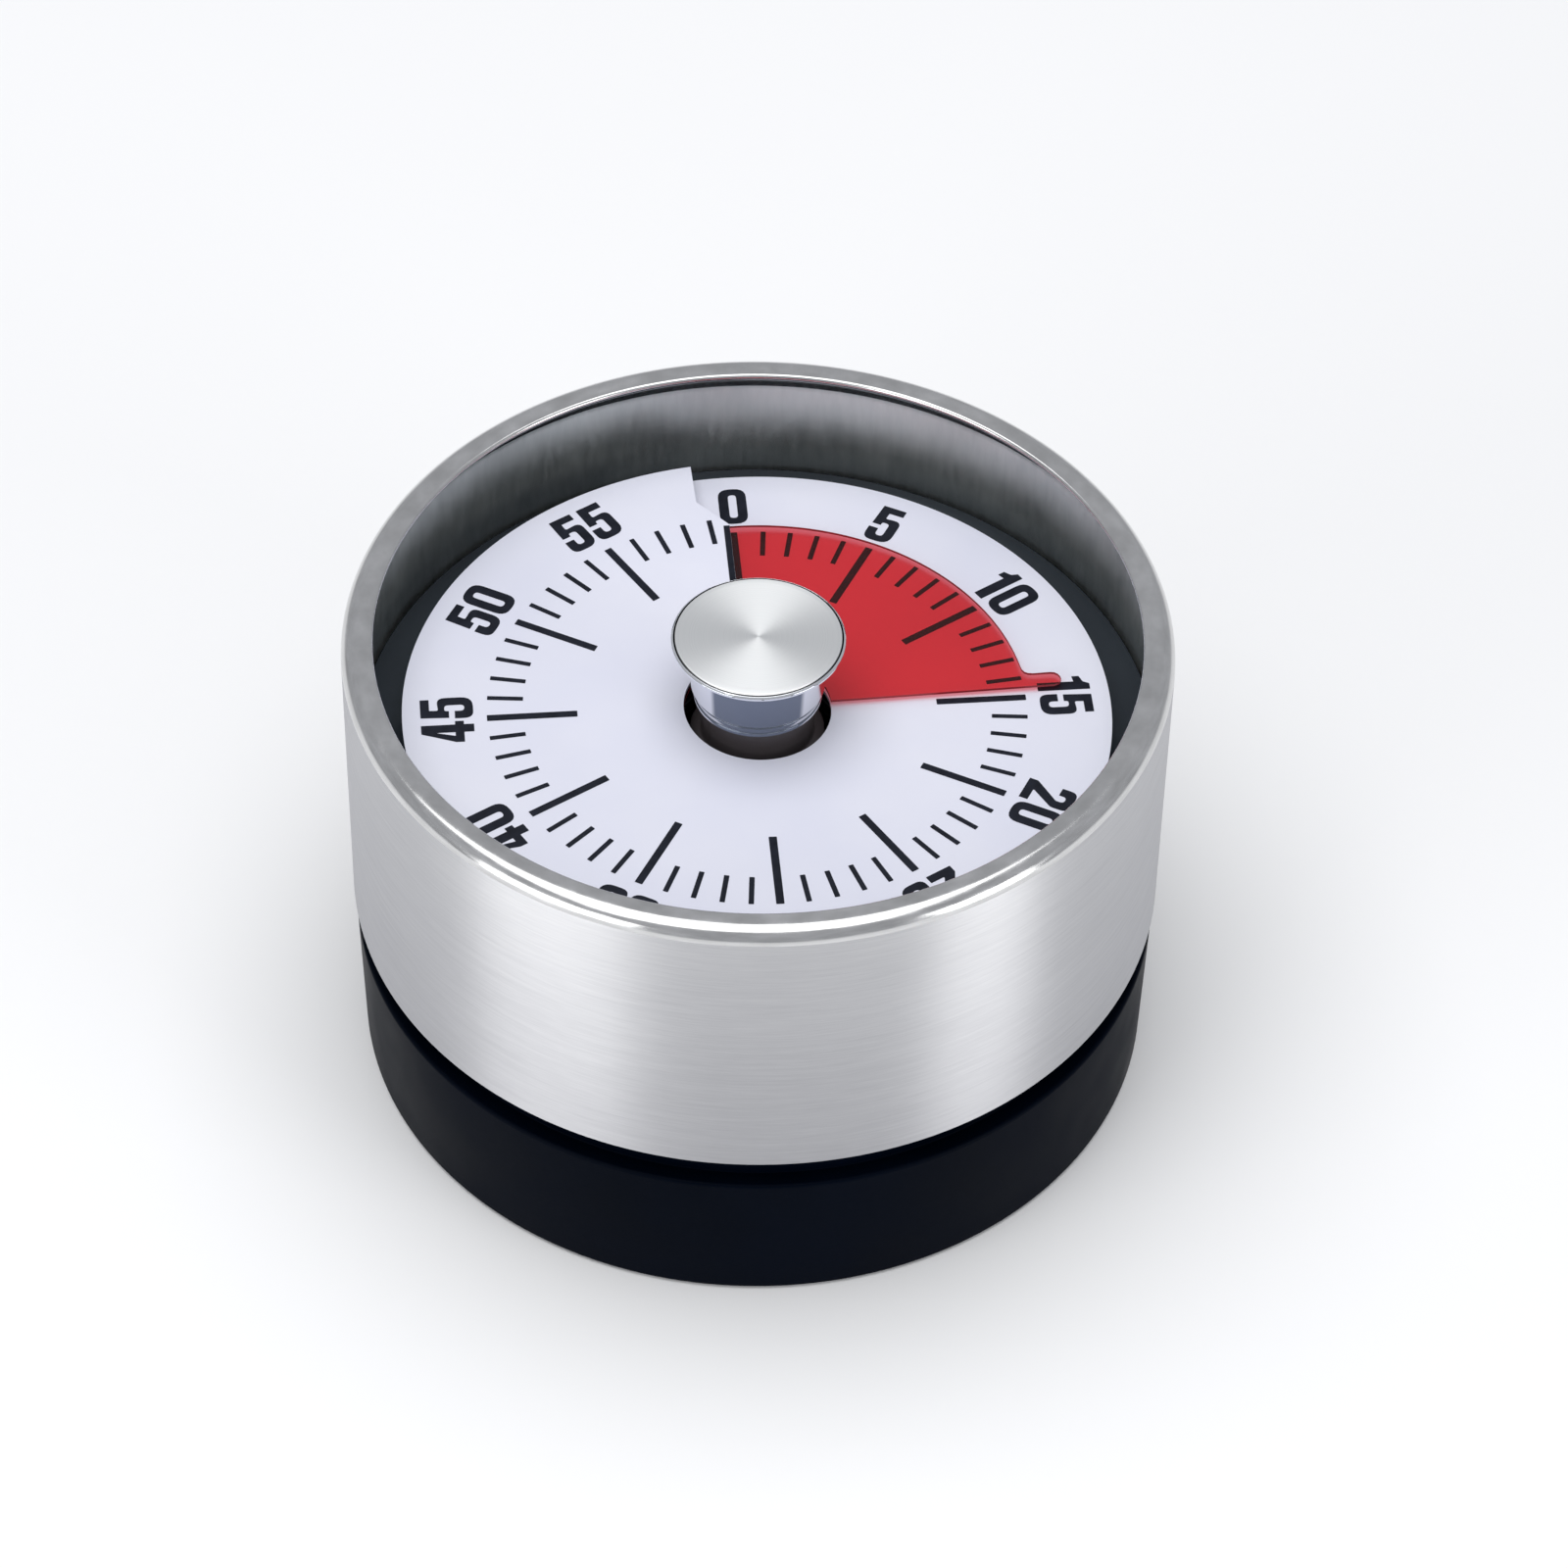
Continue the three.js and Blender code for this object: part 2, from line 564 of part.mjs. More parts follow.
// A flat strip wound from one radius to another, standing on its edge.
function spiralStrip({ innerR, outerR, turns, thickness, startDegrees, bottom, top, stepsPerTurn }) {
  const steps = turns * stepsPerTurn;
  const side = (offset) => Array.from({ length: steps + 1 }, (_, i) => {
    const r = innerR + ((outerR - innerR) * i) / steps + offset;
    return polar(r, startDegrees + (360 * turns * i) / steps);
  });
  return slab(outlineShape([...side(thickness / 2), ...side(-thickness / 2).reverse()]), bottom, top);
}

const mainspring = () => spiralStrip({
  innerR: 3.4, outerR: 13.1, turns: 4, thickness: 0.5, startDegrees: 250, bottom: 15.3, top: 20.2,
  stepsPerTurn: 15,
});

const hairspring = () => spiralStrip({
  innerR: 1.6, outerR: 4.3, turns: 3, thickness: 0.18, startDegrees: 80, bottom: 20.6, top: 21,
  stepsPerTurn: 10,
});

const RATCHET = { teeth: 12, tipR: 4.8, rootR: 3.8, bottom: 22.4, top: 23.2 };

function ratchetWheel() {
  const points = Array.from({ length: RATCHET.teeth }, (_, i) => {
    const degrees = (360 * i) / RATCHET.teeth;
    return [polar(RATCHET.rootR, degrees), polar(RATCHET.tipR, degrees + 0.5)];
  }).flat();
  const shape = outlineShape(points);
  addHole(shape, BARREL_R + 0.2, SMALL);
  return slab(shape, RATCHET.bottom, RATCHET.top);
}

function click() {
  const arm = slab(outlineShape([
    [CLICK_AT[0] + 0.2, CLICK_AT[1] + 1.2], [0.8, -5.45], [1.5, -4.05], [1.98, -3.85], [2.3, -4.9],
    [1.4, -6.3], [CLICK_AT[0] + 0.6, CLICK_AT[1] - 1.1],
  ]), RATCHET.bottom, RATCHET.top);
  const eye = rod(1.4, RATCHET.bottom, RATCHET.top, SMALL, CLICK_AT);
  return cut(join(arm, eye), rod(0.8, RATCHET.bottom - 1, RATCHET.top + 1, SMALL, CLICK_AT));
}

// A bent wire that leans on the back of the click.
function clickSpring() {
  const wire = 0.2;
  const low = RATCHET.bottom + 0.2;
  const high = RATCHET.top - 0.3;
  const anchor = polar(9, 225);
  const bend = [-1.8, -9.6];
  const tip = [2.1, -6.1];
  return join(
    rod(0.6, RATCHET.bottom, RATCHET.top, TINY, anchor),
    bar(anchor, bend, wire, low, high),
    rod(wire / 2, low, high, TINY, bend),
    bar(bend, tip, wire, low, high),
  );
}

function tripCam() {
  const r = 4.8;
  const notchR = 3.6;
  const notchHalf = 9; // degrees
  const steps = 18;
  const rimSpan = 360 - 2 * notchHalf;
  const rim = Array.from({ length: steps + 1 }, (_, i) => polar(r, notchHalf + (rimSpan * i) / steps));
  const shape = outlineShape([...rim, polar(notchR, -notchHalf), polar(notchR, notchHalf)]);
  addHole(shape, BARREL_R + 0.2, SMALL);
  return slab(shape, REAR_PLATE.top + GAP, REAR_PLATE.top + 0.95);
}

// ---------------------------------------------------------------- escapement
const LEVER = { bottom: 26.4, top: 27 };

function escapeWheel() {
  const points = Array.from({ length: ESCAPE_WHEEL.teeth }, (_, i) => {
    const degrees = (360 * i) / ESCAPE_WHEEL.teeth;
    const { rootR, tipR } = ESCAPE_WHEEL;
    return [polar(rootR, degrees), polar(tipR, degrees + 3), polar(rootR, degrees + 9)];
  }).flat();
  const shape = outlineShape(points);
  addHole(shape, SEAT_HOLE_R, SMALL);
  return slab(shape, ESCAPE_WHEEL.bottom, ESCAPE_WHEEL.top);
}

// The lever lies over the escape wheel; its two pins hang down just outside the tips of the teeth.
function palletLever() {
  const pinRing = ESCAPE_WHEEL.tipR + 1.4;
  const pins = [-48, 48].map((turn) => polar(pinRing, TO_PALLET + turn, ESCAPE_AT));
  const forkEnd = polar(BALANCE_DISTANCE - 2.4, TO_BALANCE, PALLET_AT);
  const hornEnd = polar(BALANCE_DISTANCE - 1.9, TO_BALANCE, PALLET_AT);
  const across = polar(0.6, TO_BALANCE + 90);
  const beside = ([x, y], side) => [x + side * across[0], y + side * across[1]];
  const horns = [-1, 1].map(
    (side) => bar(beside(forkEnd, side), beside(hornEnd, side), 0.4, LEVER.bottom, LEVER.top),
  );
  const body = join(
    rod(1.5, LEVER.bottom, LEVER.top, SMALL, PALLET_AT),
    ...pins.map((at) => bar(PALLET_AT, at, 0.9, LEVER.bottom, LEVER.top)),
    ...pins.map((at) => rod(0.7, LEVER.bottom, LEVER.top, TINY, at)),
    ...pins.map((at) => rod(0.3, ESCAPE_WHEEL.bottom, LEVER.bottom + 0.2, 6, at)),
    bar(PALLET_AT, forkEnd, 0.8, LEVER.bottom, LEVER.top),
    rod(1, LEVER.bottom, LEVER.top, SMALL, polar(BALANCE_DISTANCE - 2.9, TO_BALANCE, PALLET_AT)),
    ...horns,
  );
  return cut(body, rod(0.8, LEVER.bottom - 1, LEVER.top + 1, 10, PALLET_AT));
}

function palletArbor() {
  const seatR = 0.6;
  const low = REAR_PLATE.top + GAP;
  const high = FRONT_PLATE.bottom - 0.2;
  return lathe([
    [0, REAR_PLATE.bottom + 0.1], [PIVOT_R, REAR_PLATE.bottom + 0.1], [PIVOT_R, low], [seatR, low],
    [seatR, high], [PIVOT_R, high], [PIVOT_R, FRONT_PLATE.top - 0.1], [0, FRONT_PLATE.top - 0.1],
  ], 10);
}

const BALANCE = { rimR: 6.5, rimInner: 5.4, bottom: 18, top: 19.2 };
const SPOKE = { width: 0.9, bottom: 18.2, top: 19 };

function balanceWheel() {
  const spokes = [0, 120, 240].map((angle) => {
    const [from, to] = [polar(1.5, angle), polar(BALANCE.rimInner + 0.4, angle)];
    return bar(from, to, SPOKE.width, SPOKE.bottom, SPOKE.top);
  });
  return join(
    ring([
      [BALANCE.rimInner, BALANCE.bottom], [BALANCE.rimR, BALANCE.bottom],
      [BALANCE.rimR, BALANCE.top], [BALANCE.rimInner, BALANCE.top],
    ], MEDIUM),
    ring([[1.1, SPOKE.bottom], [1.9, SPOKE.bottom], [1.9, SPOKE.top], [1.1, SPOKE.top]], SMALL),
    ...spokes,
  );
}

// The staff carries a small roller disc with the impulse pin that faces the pallet lever's fork.
function balanceStaff() {
  const seatR = 0.9;
  const roller = { r: 1.9, bottom: 25.4, top: 26 };
  const low = REAR_PLATE.top + GAP;
  const high = FRONT_PLATE.bottom - 0.2;
  const shaft = lathe([
    [0, REAR_PLATE.bottom + 0.1], [PIVOT_R, REAR_PLATE.bottom + 0.1], [PIVOT_R, low], [seatR, low],
    [seatR, roller.bottom], [roller.r, roller.bottom], [roller.r, roller.top], [seatR, roller.top],
    [seatR, high], [PIVOT_R, high], [PIVOT_R, FRONT_PLATE.top - 0.1], [0, FRONT_PLATE.top - 0.1],
  ], SMALL);
  return join(shaft, rod(0.25, roller.top - 0.2, LEVER.top, 6, polar(1.4, TO_BALANCE + 180)));
}

const hairspringStud = () => rod(0.5, 20.4, FRONT_PLATE.bottom - GAP, TINY);

// ---------------------------------------------------------------- bell and hammer
const ARM = { bottom: 9.3, top: 10.3 };

function bell() {
  const outer = 25;
  const t = 0.8;
  const bottom = 5;
  const rimZ = 11.6;
  const curve = 5;
  const holeR = 1.3;
  return ring([
    [holeR, bottom],
    ...arc(outer - curve, bottom + curve, curve, -90, 0, 2),
    [outer, rimZ],
    [outer - t, rimZ],
    ...arc(outer - curve, bottom + curve, curve - t, 0, -90, 2),
    [holeR, bottom + t],
  ], MEDIUM);
}

function bellPost() {
  return lathe([
    [0, 11.5], [1.05, 11.5], [1.05, 6.1], [2.6, 6.1], [2.6, 11.7], [4, 11.9], [4, REAR_PLATE.bottom - GAP],
    [0, REAR_PLATE.bottom - GAP],
  ], SMALL);
}

function hammer() {
  const body = join(
    rod(2, ARM.bottom, ARM.top, SMALL, HAMMER_AT),
    bar(HAMMER_AT, HAMMER_HEAD_AT, 1.6, ARM.bottom, ARM.top),
    bar(HAMMER_AT, LIFT_PIN_AT, 1.6, ARM.bottom, ARM.top),
    rod(1, ARM.bottom, ARM.top, TINY, LIFT_PIN_AT),
    rod(0.6, ARM.top - 0.2, REAR_PLATE.top + 0.9, TINY, LIFT_PIN_AT),
    rod(2, 8, 11.4, SMALL, HAMMER_HEAD_AT),
  );
  return cut(body, rod(1.15, ARM.bottom - 1, ARM.top + 1, SMALL, HAMMER_AT));
}

// A stud riveted under the rear plate, with a flange that keeps the hammer on.
function hammerPivot() {
  const flange = { r: 1.8, bottom: 8.2, top: 9 };
  const r = 0.9;
  const top = REAR_PLATE.bottom - GAP;
  return lathe([
    [0, flange.bottom], [flange.r, flange.bottom], [flange.r, flange.top], [r, flange.top], [r, top],
    [0, top],
  ], SMALL);
}

// Three turns of wire round the hammer's stud.
function hammerSpring() {
  const turns = 3;
  const coilR = 1.6;
  const bottom = 10.9;
  const rise = 1.3;
  const steps = turns * 8;
  const points = Array.from({ length: steps + 1 }, (_, i) => {
    const [x, y] = polar(coilR, (360 * turns * i) / steps);
    return new THREE.Vector3(x, y, bottom + (rise * i) / steps);
  });
  const wire = outlineShape(circlePoints(0.16, 5));
  const extrudePath = new THREE.CatmullRomCurve3(points);
  return new THREE.ExtrudeGeometry(wire, { steps, extrudePath, bevelEnabled: false, curveSegments: 1 });
}

// ---------------------------------------------------------------- materials
const finish = (color, roughness, metalness, opacity = 1) =>
  new THREE.MeshStandardMaterial({ color, roughness, metalness, opacity, transparent: opacity < 1 });

const BRUSHED_STEEL = finish(0xc9cacc, 0.34, 1);
const BLACK_PLASTIC = finish(0x101216, 0.42, 0);
const GLOSS_BLACK = finish(0x15171c, 0.16, 0);
const DIAL_WHITE = finish(0xe9e9f4, 0.4, 0);
const RED_FILM = finish(0xcd3237, 0.25, 0, 0.85);
const CHROME = finish(0xd4d7dc, 0.08, 1);
const SPUN_ALUMINIUM = finish(0xd9dcdd, 0.28, 1);
const RUBBER = finish(0x1b1b1d, 0.85, 0);
const ZINC_STEEL = finish(0xa9adb3, 0.38, 1);
const SPRING_STEEL = finish(0x7c828c, 0.3, 1);
const BRASS = finish(0xc6a358, 0.32, 1);
const NICKEL = finish(0xb9bcc2, 0.22, 1);

// ---------------------------------------------------------------- assembly
const timer = new THREE.Group();

function add(name, geometry, material, [x, y] = MAIN_AT, z = 0) {
  const mesh = new THREE.Mesh(geometry, material);
  mesh.name = name;
  mesh.position.set(x, y, z);
  timer.add(mesh);
}

function addRound(name, makeGeometry, material, radius, angles, z = 0) {
  angles.forEach((angle, i) => add(`${name}_${i + 1}`, makeGeometry(), material, polar(radius, angle), z));
}

add("steel_shell", steelShell(), BRUSHED_STEEL);
add("base_housing", baseHousing(), BLACK_PLASTIC);
add("back_cover", backCover(), BLACK_PLASTIC);
add("foot_ring", footRing(), RUBBER);
addRound("magnet", magnet, NICKEL, MAGNET_RING_R, MAGNET_ANGLES, 0.5);
const COVER_SCREW = { headR: 1.9, headHeight: 1, shankR: 0.85, length: 8 };
addRound("cover_screw", () => screw(COVER_SCREW), ZINC_STEEL, COVER_SCREW_RING_R, COVER_SCREW_ANGLES, 1.7);

add("dial_carrier", dialCarrier(), GLOSS_BLACK);
add("dial", dialSheet(), DIAL_WHITE);
add("red_disc", filmDisc(), RED_FILM);
add("disc_hub", discHub(), BLACK_PLASTIC);
add("knob_body", knobBody(), CHROME);
add("knob_cap", knobCap(), SPUN_ALUMINIUM);

add("rear_plate", rearPlate(), ZINC_STEEL);
add("front_plate", frontPlate(), ZINC_STEEL);
addRound("pillar", pillar, ZINC_STEEL, PILLAR_RING_R, PILLAR_ANGLES);
addRound("pillar_nut", hexNut, BRASS, PILLAR_RING_R, PILLAR_ANGLES, FRONT_PLATE.top + GAP);
const MOVEMENT_SCREW = { headR: 1.7, headHeight: 1.1, shankR: 0.75, length: 5.2 };
addRound(
  "movement_screw", () => screw(MOVEMENT_SCREW), ZINC_STEEL, MOVEMENT_SCREW_RING_R, SCREW_ANGLES,
  FRONT_PLATE.bottom - GAP,
);

add("main_arbor", mainArbor(), ZINC_STEEL);
add("mainspring", mainspring(), SPRING_STEEL);
add("spring_post", rod(1, REAR_PLATE.top + GAP, MAIN_WHEEL.bottom - 0.2), ZINC_STEEL, SPRING_POST_AT);
add("trip_cam", tripCam(), BRASS);
add("main_wheel", wheel(MESH_1, BARREL_R + 0.2, MAIN_WHEEL), BRASS);
add("ratchet_wheel", ratchetWheel(), ZINC_STEEL);
add("click", click(), ZINC_STEEL);
add("click_stud", rod(0.6, MAIN_WHEEL.top + GAP, RATCHET.top + 0.4, 10), ZINC_STEEL, CLICK_AT);
add("click_spring", clickSpring(), SPRING_STEEL);

const SECOND_ARBOR = pinionArbor(MESH_1, TO_SECOND, MAIN_WHEEL, SECOND_WHEEL.bottom);
const THIRD_ARBOR = pinionArbor(MESH_2, TO_THIRD, SECOND_WHEEL, THIRD_WHEEL.bottom);
const ESCAPE_ARBOR = pinionArbor(MESH_3, TO_ESCAPE, THIRD_WHEEL, ESCAPE_WHEEL.bottom);
add("second_arbor", SECOND_ARBOR, ZINC_STEEL, SECOND_AT);
add("second_wheel", wheel(MESH_2, SEAT_HOLE_R, SECOND_WHEEL), BRASS, SECOND_AT);
add("third_arbor", THIRD_ARBOR, ZINC_STEEL, THIRD_AT);
add("third_wheel", wheel(MESH_3, SEAT_HOLE_R, THIRD_WHEEL), BRASS, THIRD_AT);
add("escape_arbor", ESCAPE_ARBOR, ZINC_STEEL, ESCAPE_AT);
add("escape_wheel", escapeWheel(), BRASS, ESCAPE_AT);

add("pallet_lever", palletLever(), ZINC_STEEL);
add("pallet_arbor", palletArbor(), ZINC_STEEL, PALLET_AT);
add("balance_wheel", balanceWheel(), BRASS, BALANCE_AT);
add("balance_staff", balanceStaff(), ZINC_STEEL, BALANCE_AT);
add("hairspring", hairspring(), SPRING_STEEL, BALANCE_AT);
add("hairspring_stud", hairspringStud(), ZINC_STEEL, HAIRSPRING_STUD_AT);

add("bell", bell(), NICKEL);
add("bell_post", bellPost(), ZINC_STEEL);
const BELL_SCREW = { headR: 2.6, headHeight: 1, shankR: 0.85, length: 5.5 };
add("bell_screw", screw(BELL_SCREW), ZINC_STEEL, MAIN_AT, 4.7);
add("hammer", hammer(), ZINC_STEEL);
add("hammer_pivot", hammerPivot(), ZINC_STEEL, HAMMER_AT);
add("hammer_spring", hammerSpring(), SPRING_STEEL, HAMMER_AT);

export default timer;
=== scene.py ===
"""Looks of a wind-up 60-minute kitchen timer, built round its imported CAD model.

Lengths are in millimetres in the CAD model's frame and become metres when a mesh is made. z = 0 is the
table, minute 0 of the dial points to +Y, and minutes run clockwise seen from above.
"""

import json
import math

import bmesh
import bpy
from mathutils import Matrix, Vector
from mathutils.geometry import tessellate_polygon


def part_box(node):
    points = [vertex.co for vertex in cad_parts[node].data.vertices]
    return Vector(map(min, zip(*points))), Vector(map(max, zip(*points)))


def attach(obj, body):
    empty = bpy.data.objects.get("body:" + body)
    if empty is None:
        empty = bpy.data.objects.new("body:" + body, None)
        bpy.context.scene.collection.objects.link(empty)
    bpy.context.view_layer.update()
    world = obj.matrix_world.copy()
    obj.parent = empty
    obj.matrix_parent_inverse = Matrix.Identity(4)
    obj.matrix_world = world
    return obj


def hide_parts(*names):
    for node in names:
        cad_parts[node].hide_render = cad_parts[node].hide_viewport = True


MM = 0.001
GAP = 0.3  # clearance between separate pieces, as in the CAD
SIDES = 192  # sides of a big turned piece
KNOB_SIDES = 144
DISC_SIDES = 96
SMALL_SIDES = 64

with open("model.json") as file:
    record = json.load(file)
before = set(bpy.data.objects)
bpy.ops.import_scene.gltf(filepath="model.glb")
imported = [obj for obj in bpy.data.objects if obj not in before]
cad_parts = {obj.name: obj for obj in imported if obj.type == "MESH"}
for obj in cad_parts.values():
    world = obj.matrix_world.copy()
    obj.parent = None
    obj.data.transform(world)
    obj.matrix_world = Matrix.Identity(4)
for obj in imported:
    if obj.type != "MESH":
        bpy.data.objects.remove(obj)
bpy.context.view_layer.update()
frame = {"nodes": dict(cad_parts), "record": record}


# ---------------------------------------------------------------- dimensions, from the CAD where it has them
def span(node):
    low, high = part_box(node)
    return low / MM, high / MM


def outer_radius(node):
    return span(node)[1].y


SHELL_LOW, SHELL_HIGH = (corner.z for corner in span("steel_shell"))
SHELL_R = outer_radius("steel_shell")
SHEET = 0.6  # thickness of the shell's steel
LIP_R = 36  # inner edge of the shell's inward lip
BASE_R = outer_radius("base_housing")
BASE_FOOT_R = 38.5
BASE_SHOULDER_Z = 15.35
NECK_R = 37  # bottom of the groove between base and shell
CASE_R = 35.6
COVER_R = outer_radius("back_cover")
COVER_LOW, COVER_TOP = (corner.z for corner in span("back_cover"))
FLOOR_TOP = 35.5
FLOOR_LOW = 34
DIAL_Z = 38.9  # face of the dial at minute 0, before its dip
DIAL_DIP, FILM_DIP = 0.42, 0.3  # the free start of the sheet hangs a little
DIP_END = 110  # degrees clockwise of minute 0 where the dips have run out
PITCH = 1.5  # rise of the dial and of the film in one turn
DIAL_R = outer_radius("dial")
DIAL_HOLE_R = 7
DIAL_THICK = 0.4
FLAP_OVERLAP = 4.5
SLIT_X = 0.7
FILM_R = 25.7
FILM_THICK = 0.25
REST_ANGLE = 88.2  # the pointer at rest, clockwise of minute 0
KNOB_LOW, KNOB_TOP = (corner.z for corner in span("knob_body"))
KNOB_R = outer_radius("knob_body")
KNOB_FOOT_R = 6.1
KNOB_NECK_R = 6.4
CAP_SEAT_R = KNOB_R - 0.2  # recess in the knob that its cap sits in
CAP_BOTTOM = KNOB_TOP - 0.3
BORE_R = 2.3
FOOT_IN_R, FOOT_OUT_R, FOOT_TOP = 25.2, 27.8, 0.9
FOOT_GROOVE_CLEARANCE = 0.4
MAGNET_ANGLES = [90, 210, 330]
MAGNET_RING_R = 16.5
MAGNET_R, MAGNET_LOW, MAGNET_TOP = 5, 0.5, 2
COVER_SCREW_ANGLES = [30, 150, 270]
COVER_SCREW_RING_R = 32
COVER_SCREW_HEAD_R = 1.9
MOVEMENT_SCREW_ANGLES = [100, 220, 340]
MOVEMENT_SCREW_RING_R = 29.3
SKIRT_IN_R, SKIRT_OUT_R, SKIRT_LOW = 33.6, 35.2, 31  # ring under the well's floor, inside the case wall
LEDGE_R, LEDGE_END = 34.5, 68  # low step round the start of the dial, up to this angle


def polar(radius, degrees, z=0.0):
    a = math.radians(degrees)
    return Vector((radius * math.cos(a), radius * math.sin(a), z))


def on_dial(radius, degrees, z):
    """A point given by its angle clockwise from minute 0."""
    return polar(radius, 90 - degrees, z)


def side_angle(offset, radius):
    return math.degrees(math.asin(offset / radius))


def dip(degrees, depth):
    """How far the start of the dial or of the film hangs below an even screw thread."""
    reach = DIP_END if degrees > 0 else DIP_END / 2
    return depth * max(0, 1 - abs(degrees) / reach)


def dial_face(degrees):
    return DIAL_Z + PITCH * degrees / 360 - dip(max(degrees, 0), DIAL_DIP)


# ---------------------------------------------------------------- outlines and meshes
def rounded(points, steps=4):
    """A closed outline of (u, v) or (u, v, radius) corners. Corners that have a radius are rounded."""
    outline = []
    for i, point in enumerate(points):
        corner = Vector(point[:2])
        if len(point) < 3:
            outline.append(corner)
            continue
        before = Vector(points[i - 1][:2]) - corner
        after = Vector(points[(i + 1) % len(points)][:2]) - corner
        half = before.angle(after) / 2
        reach = min(point[2] / math.tan(half), 0.49 * before.length, 0.49 * after.length)
        start = corner + before.normalized() * reach
        end = corner + after.normalized() * reach
        for k in range(steps + 1):
            t = k / steps
            outline.append(start * (1 - t) ** 2 + corner * 2 * t * (1 - t) + end * t**2)
    return outline


def arc(r, z, radius, start, end, steps):
    """Points of an arc in (radius, height), from one angle to another in degrees."""
    angles = [math.radians(start + (end - start) * i / steps) for i in range(steps + 1)]
    return [Vector((r + radius * math.cos(a), z + radius * math.sin(a))) for a in angles]


class Shape:
    """Corners and faces of a piece that is being put together."""

    def __init__(self):
        self.corners = []
        self.faces = []
        self.zones = []

    def add(self, corners, faces, zones=None):
        first = len(self.corners)
        self.corners += [Vector(c) for c in corners]
        self.faces += [[first + i for i in face] for face in faces]
        self.zones += zones or [0] * len(faces)
        return self


def turned(outline, sides=SIDES, zone_of=None, centre=(0, 0)):
    """A solid of revolution from a closed outline in (radius, height)."""
    corners, rings = [], []
    for r, z in outline:
        if r < 1e-6:
            rings.append([len(corners)] * sides)
            corners.append(Vector((centre[0], centre[1], z)))
            continue
        rings.append(list(range(len(corners), len(corners) + sides)))
        corners += [Vector((*centre, 0)) + polar(r, 360 * k / sides, z) for k in range(sides)]
    faces, zones = [], []
    for i, low in enumerate(rings):
        high = rings[(i + 1) % len(rings)]
        middle = (Vector(outline[i]) + Vector(outline[(i + 1) % len(outline)])) / 2
        if low[0] == low[1] and high[0] == high[1]:
            continue
        for k in range(sides):
            n = (k + 1) % sides
            quad = [low[k], low[n], high[n], high[k]]
            faces.append(list(dict.fromkeys(quad)))
            zones.append(zone_of(*middle) if zone_of else 0)
    return Shape().add(corners, faces, zones)


def prism(loops, place):
    """A thin solid of a flat outline with holes. place turns (x, y, layer) into a point; layer is 0 or 1."""
    triangles = tessellate_polygon([[Vector((x, y, 0)) for x, y in loop] for loop in loops])
    flat = [point for loop in loops for point in loop]
    count = len(flat)
    corners = [place(x, y, layer) for layer in (0, 1) for x, y in flat]
    faces = [list(t) for t in triangles] + [[i + count for i in reversed(t)] for t in triangles]
    start = 0
    for loop in loops:
        size = len(loop)
        for i in range(size):
            a, b = start + i, start + (i + 1) % size
            faces.append([a, b, b + count, a + count])
        start += size
    return Shape().add(corners, faces)


def sheet_between(columns, top, bottom):
    """A thin solid over a grid. Each column is (angles, radii), with one of each for every row."""
    rows = len(columns[0][1])
    corners = []
    for height in (top, bottom):
        for angles, radii in columns:
            for degrees, r in zip(angles, radii):
                corners.append(on_dial(r, degrees, height(degrees)))
    across = len(columns)
    half = across * rows

    def at(side, column, row):
        return side * half + column * rows + row

    faces = []
    for i in range(across - 1):
        for j in range(rows - 1):
            for side in (0, 1):
                near, far = at(side, i, j), at(side, i + 1, j)
                faces.append([near, far, far + 1, near + 1])
        for j in (0, rows - 1):
            faces.append([at(0, i, j), at(0, i + 1, j), at(1, i + 1, j), at(1, i, j)])
    for i in (0, across - 1):
        for j in range(rows - 1):
            faces.append([at(0, i, j), at(0, i, j + 1), at(1, i, j + 1), at(1, i, j)])
    return Shape().add(corners, faces)


def mesh_of(name, shape):
    mesh = bpy.data.meshes.new(name)
    mesh.from_pydata([c * MM for c in shape.corners], [], shape.faces)
    return mesh


def placed(name, data):
    """A new object in the scene, for a mesh, a light or a camera."""
    made = bpy.data.objects.new(name, data)
    bpy.context.scene.collection.objects.link(made)
    return made


def piece(name, shape, materials, nodes, body="root", sharp_degrees=32):
    """Makes the Blender object of a shape, rides it on its body and hides the CAD nodes it stands for."""
    mesh = mesh_of(name, shape)
    mesh.validate()
    for finish in materials:
        mesh.materials.append(finish)
    if len(mesh.polygons) == len(shape.zones):
        mesh.polygons.foreach_set("material_index", shape.zones)
    outward(mesh)
    mesh.shade_smooth()
    mesh.set_sharp_from_angle(angle=math.radians(sharp_degrees))
    made = placed(name, mesh)
    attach(made, body)
    if nodes:
        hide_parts(*nodes)
    return made


def outward(mesh):
    """Turns every face's normal outwards."""
    work = bmesh.new()
    work.from_mesh(mesh)
    bmesh.ops.recalc_face_normals(work, faces=work.faces)
    work.to_mesh(mesh)
    work.free()
    mesh.update()


def carved(shape, cutters):
    """The shape with the cutters taken out of it."""
    body = placed("carving", mesh_of("carving", shape))
    tools = [placed(f"cutter_{i}", mesh_of(f"cutter_{i}", cutter)) for i, cutter in enumerate(cutters)]
    for made in [body, *tools]:
        outward(made.data)
    for tool in tools:
        step = body.modifiers.new("cut", "BOOLEAN")
        step.operation = "DIFFERENCE"
        step.solver = "EXACT"
        step.object = tool
    bpy.context.view_layer.update()
    seen = body.evaluated_get(bpy.context.evaluated_depsgraph_get())
    mesh = bpy.data.meshes.new_from_object(seen)
    result = Shape().add([v.co / MM for v in mesh.vertices], [list(p.vertices) for p in mesh.polygons])
    for done in [body, *tools]:
        bpy.data.objects.remove(done)
    bpy.data.meshes.remove(mesh)
    return result


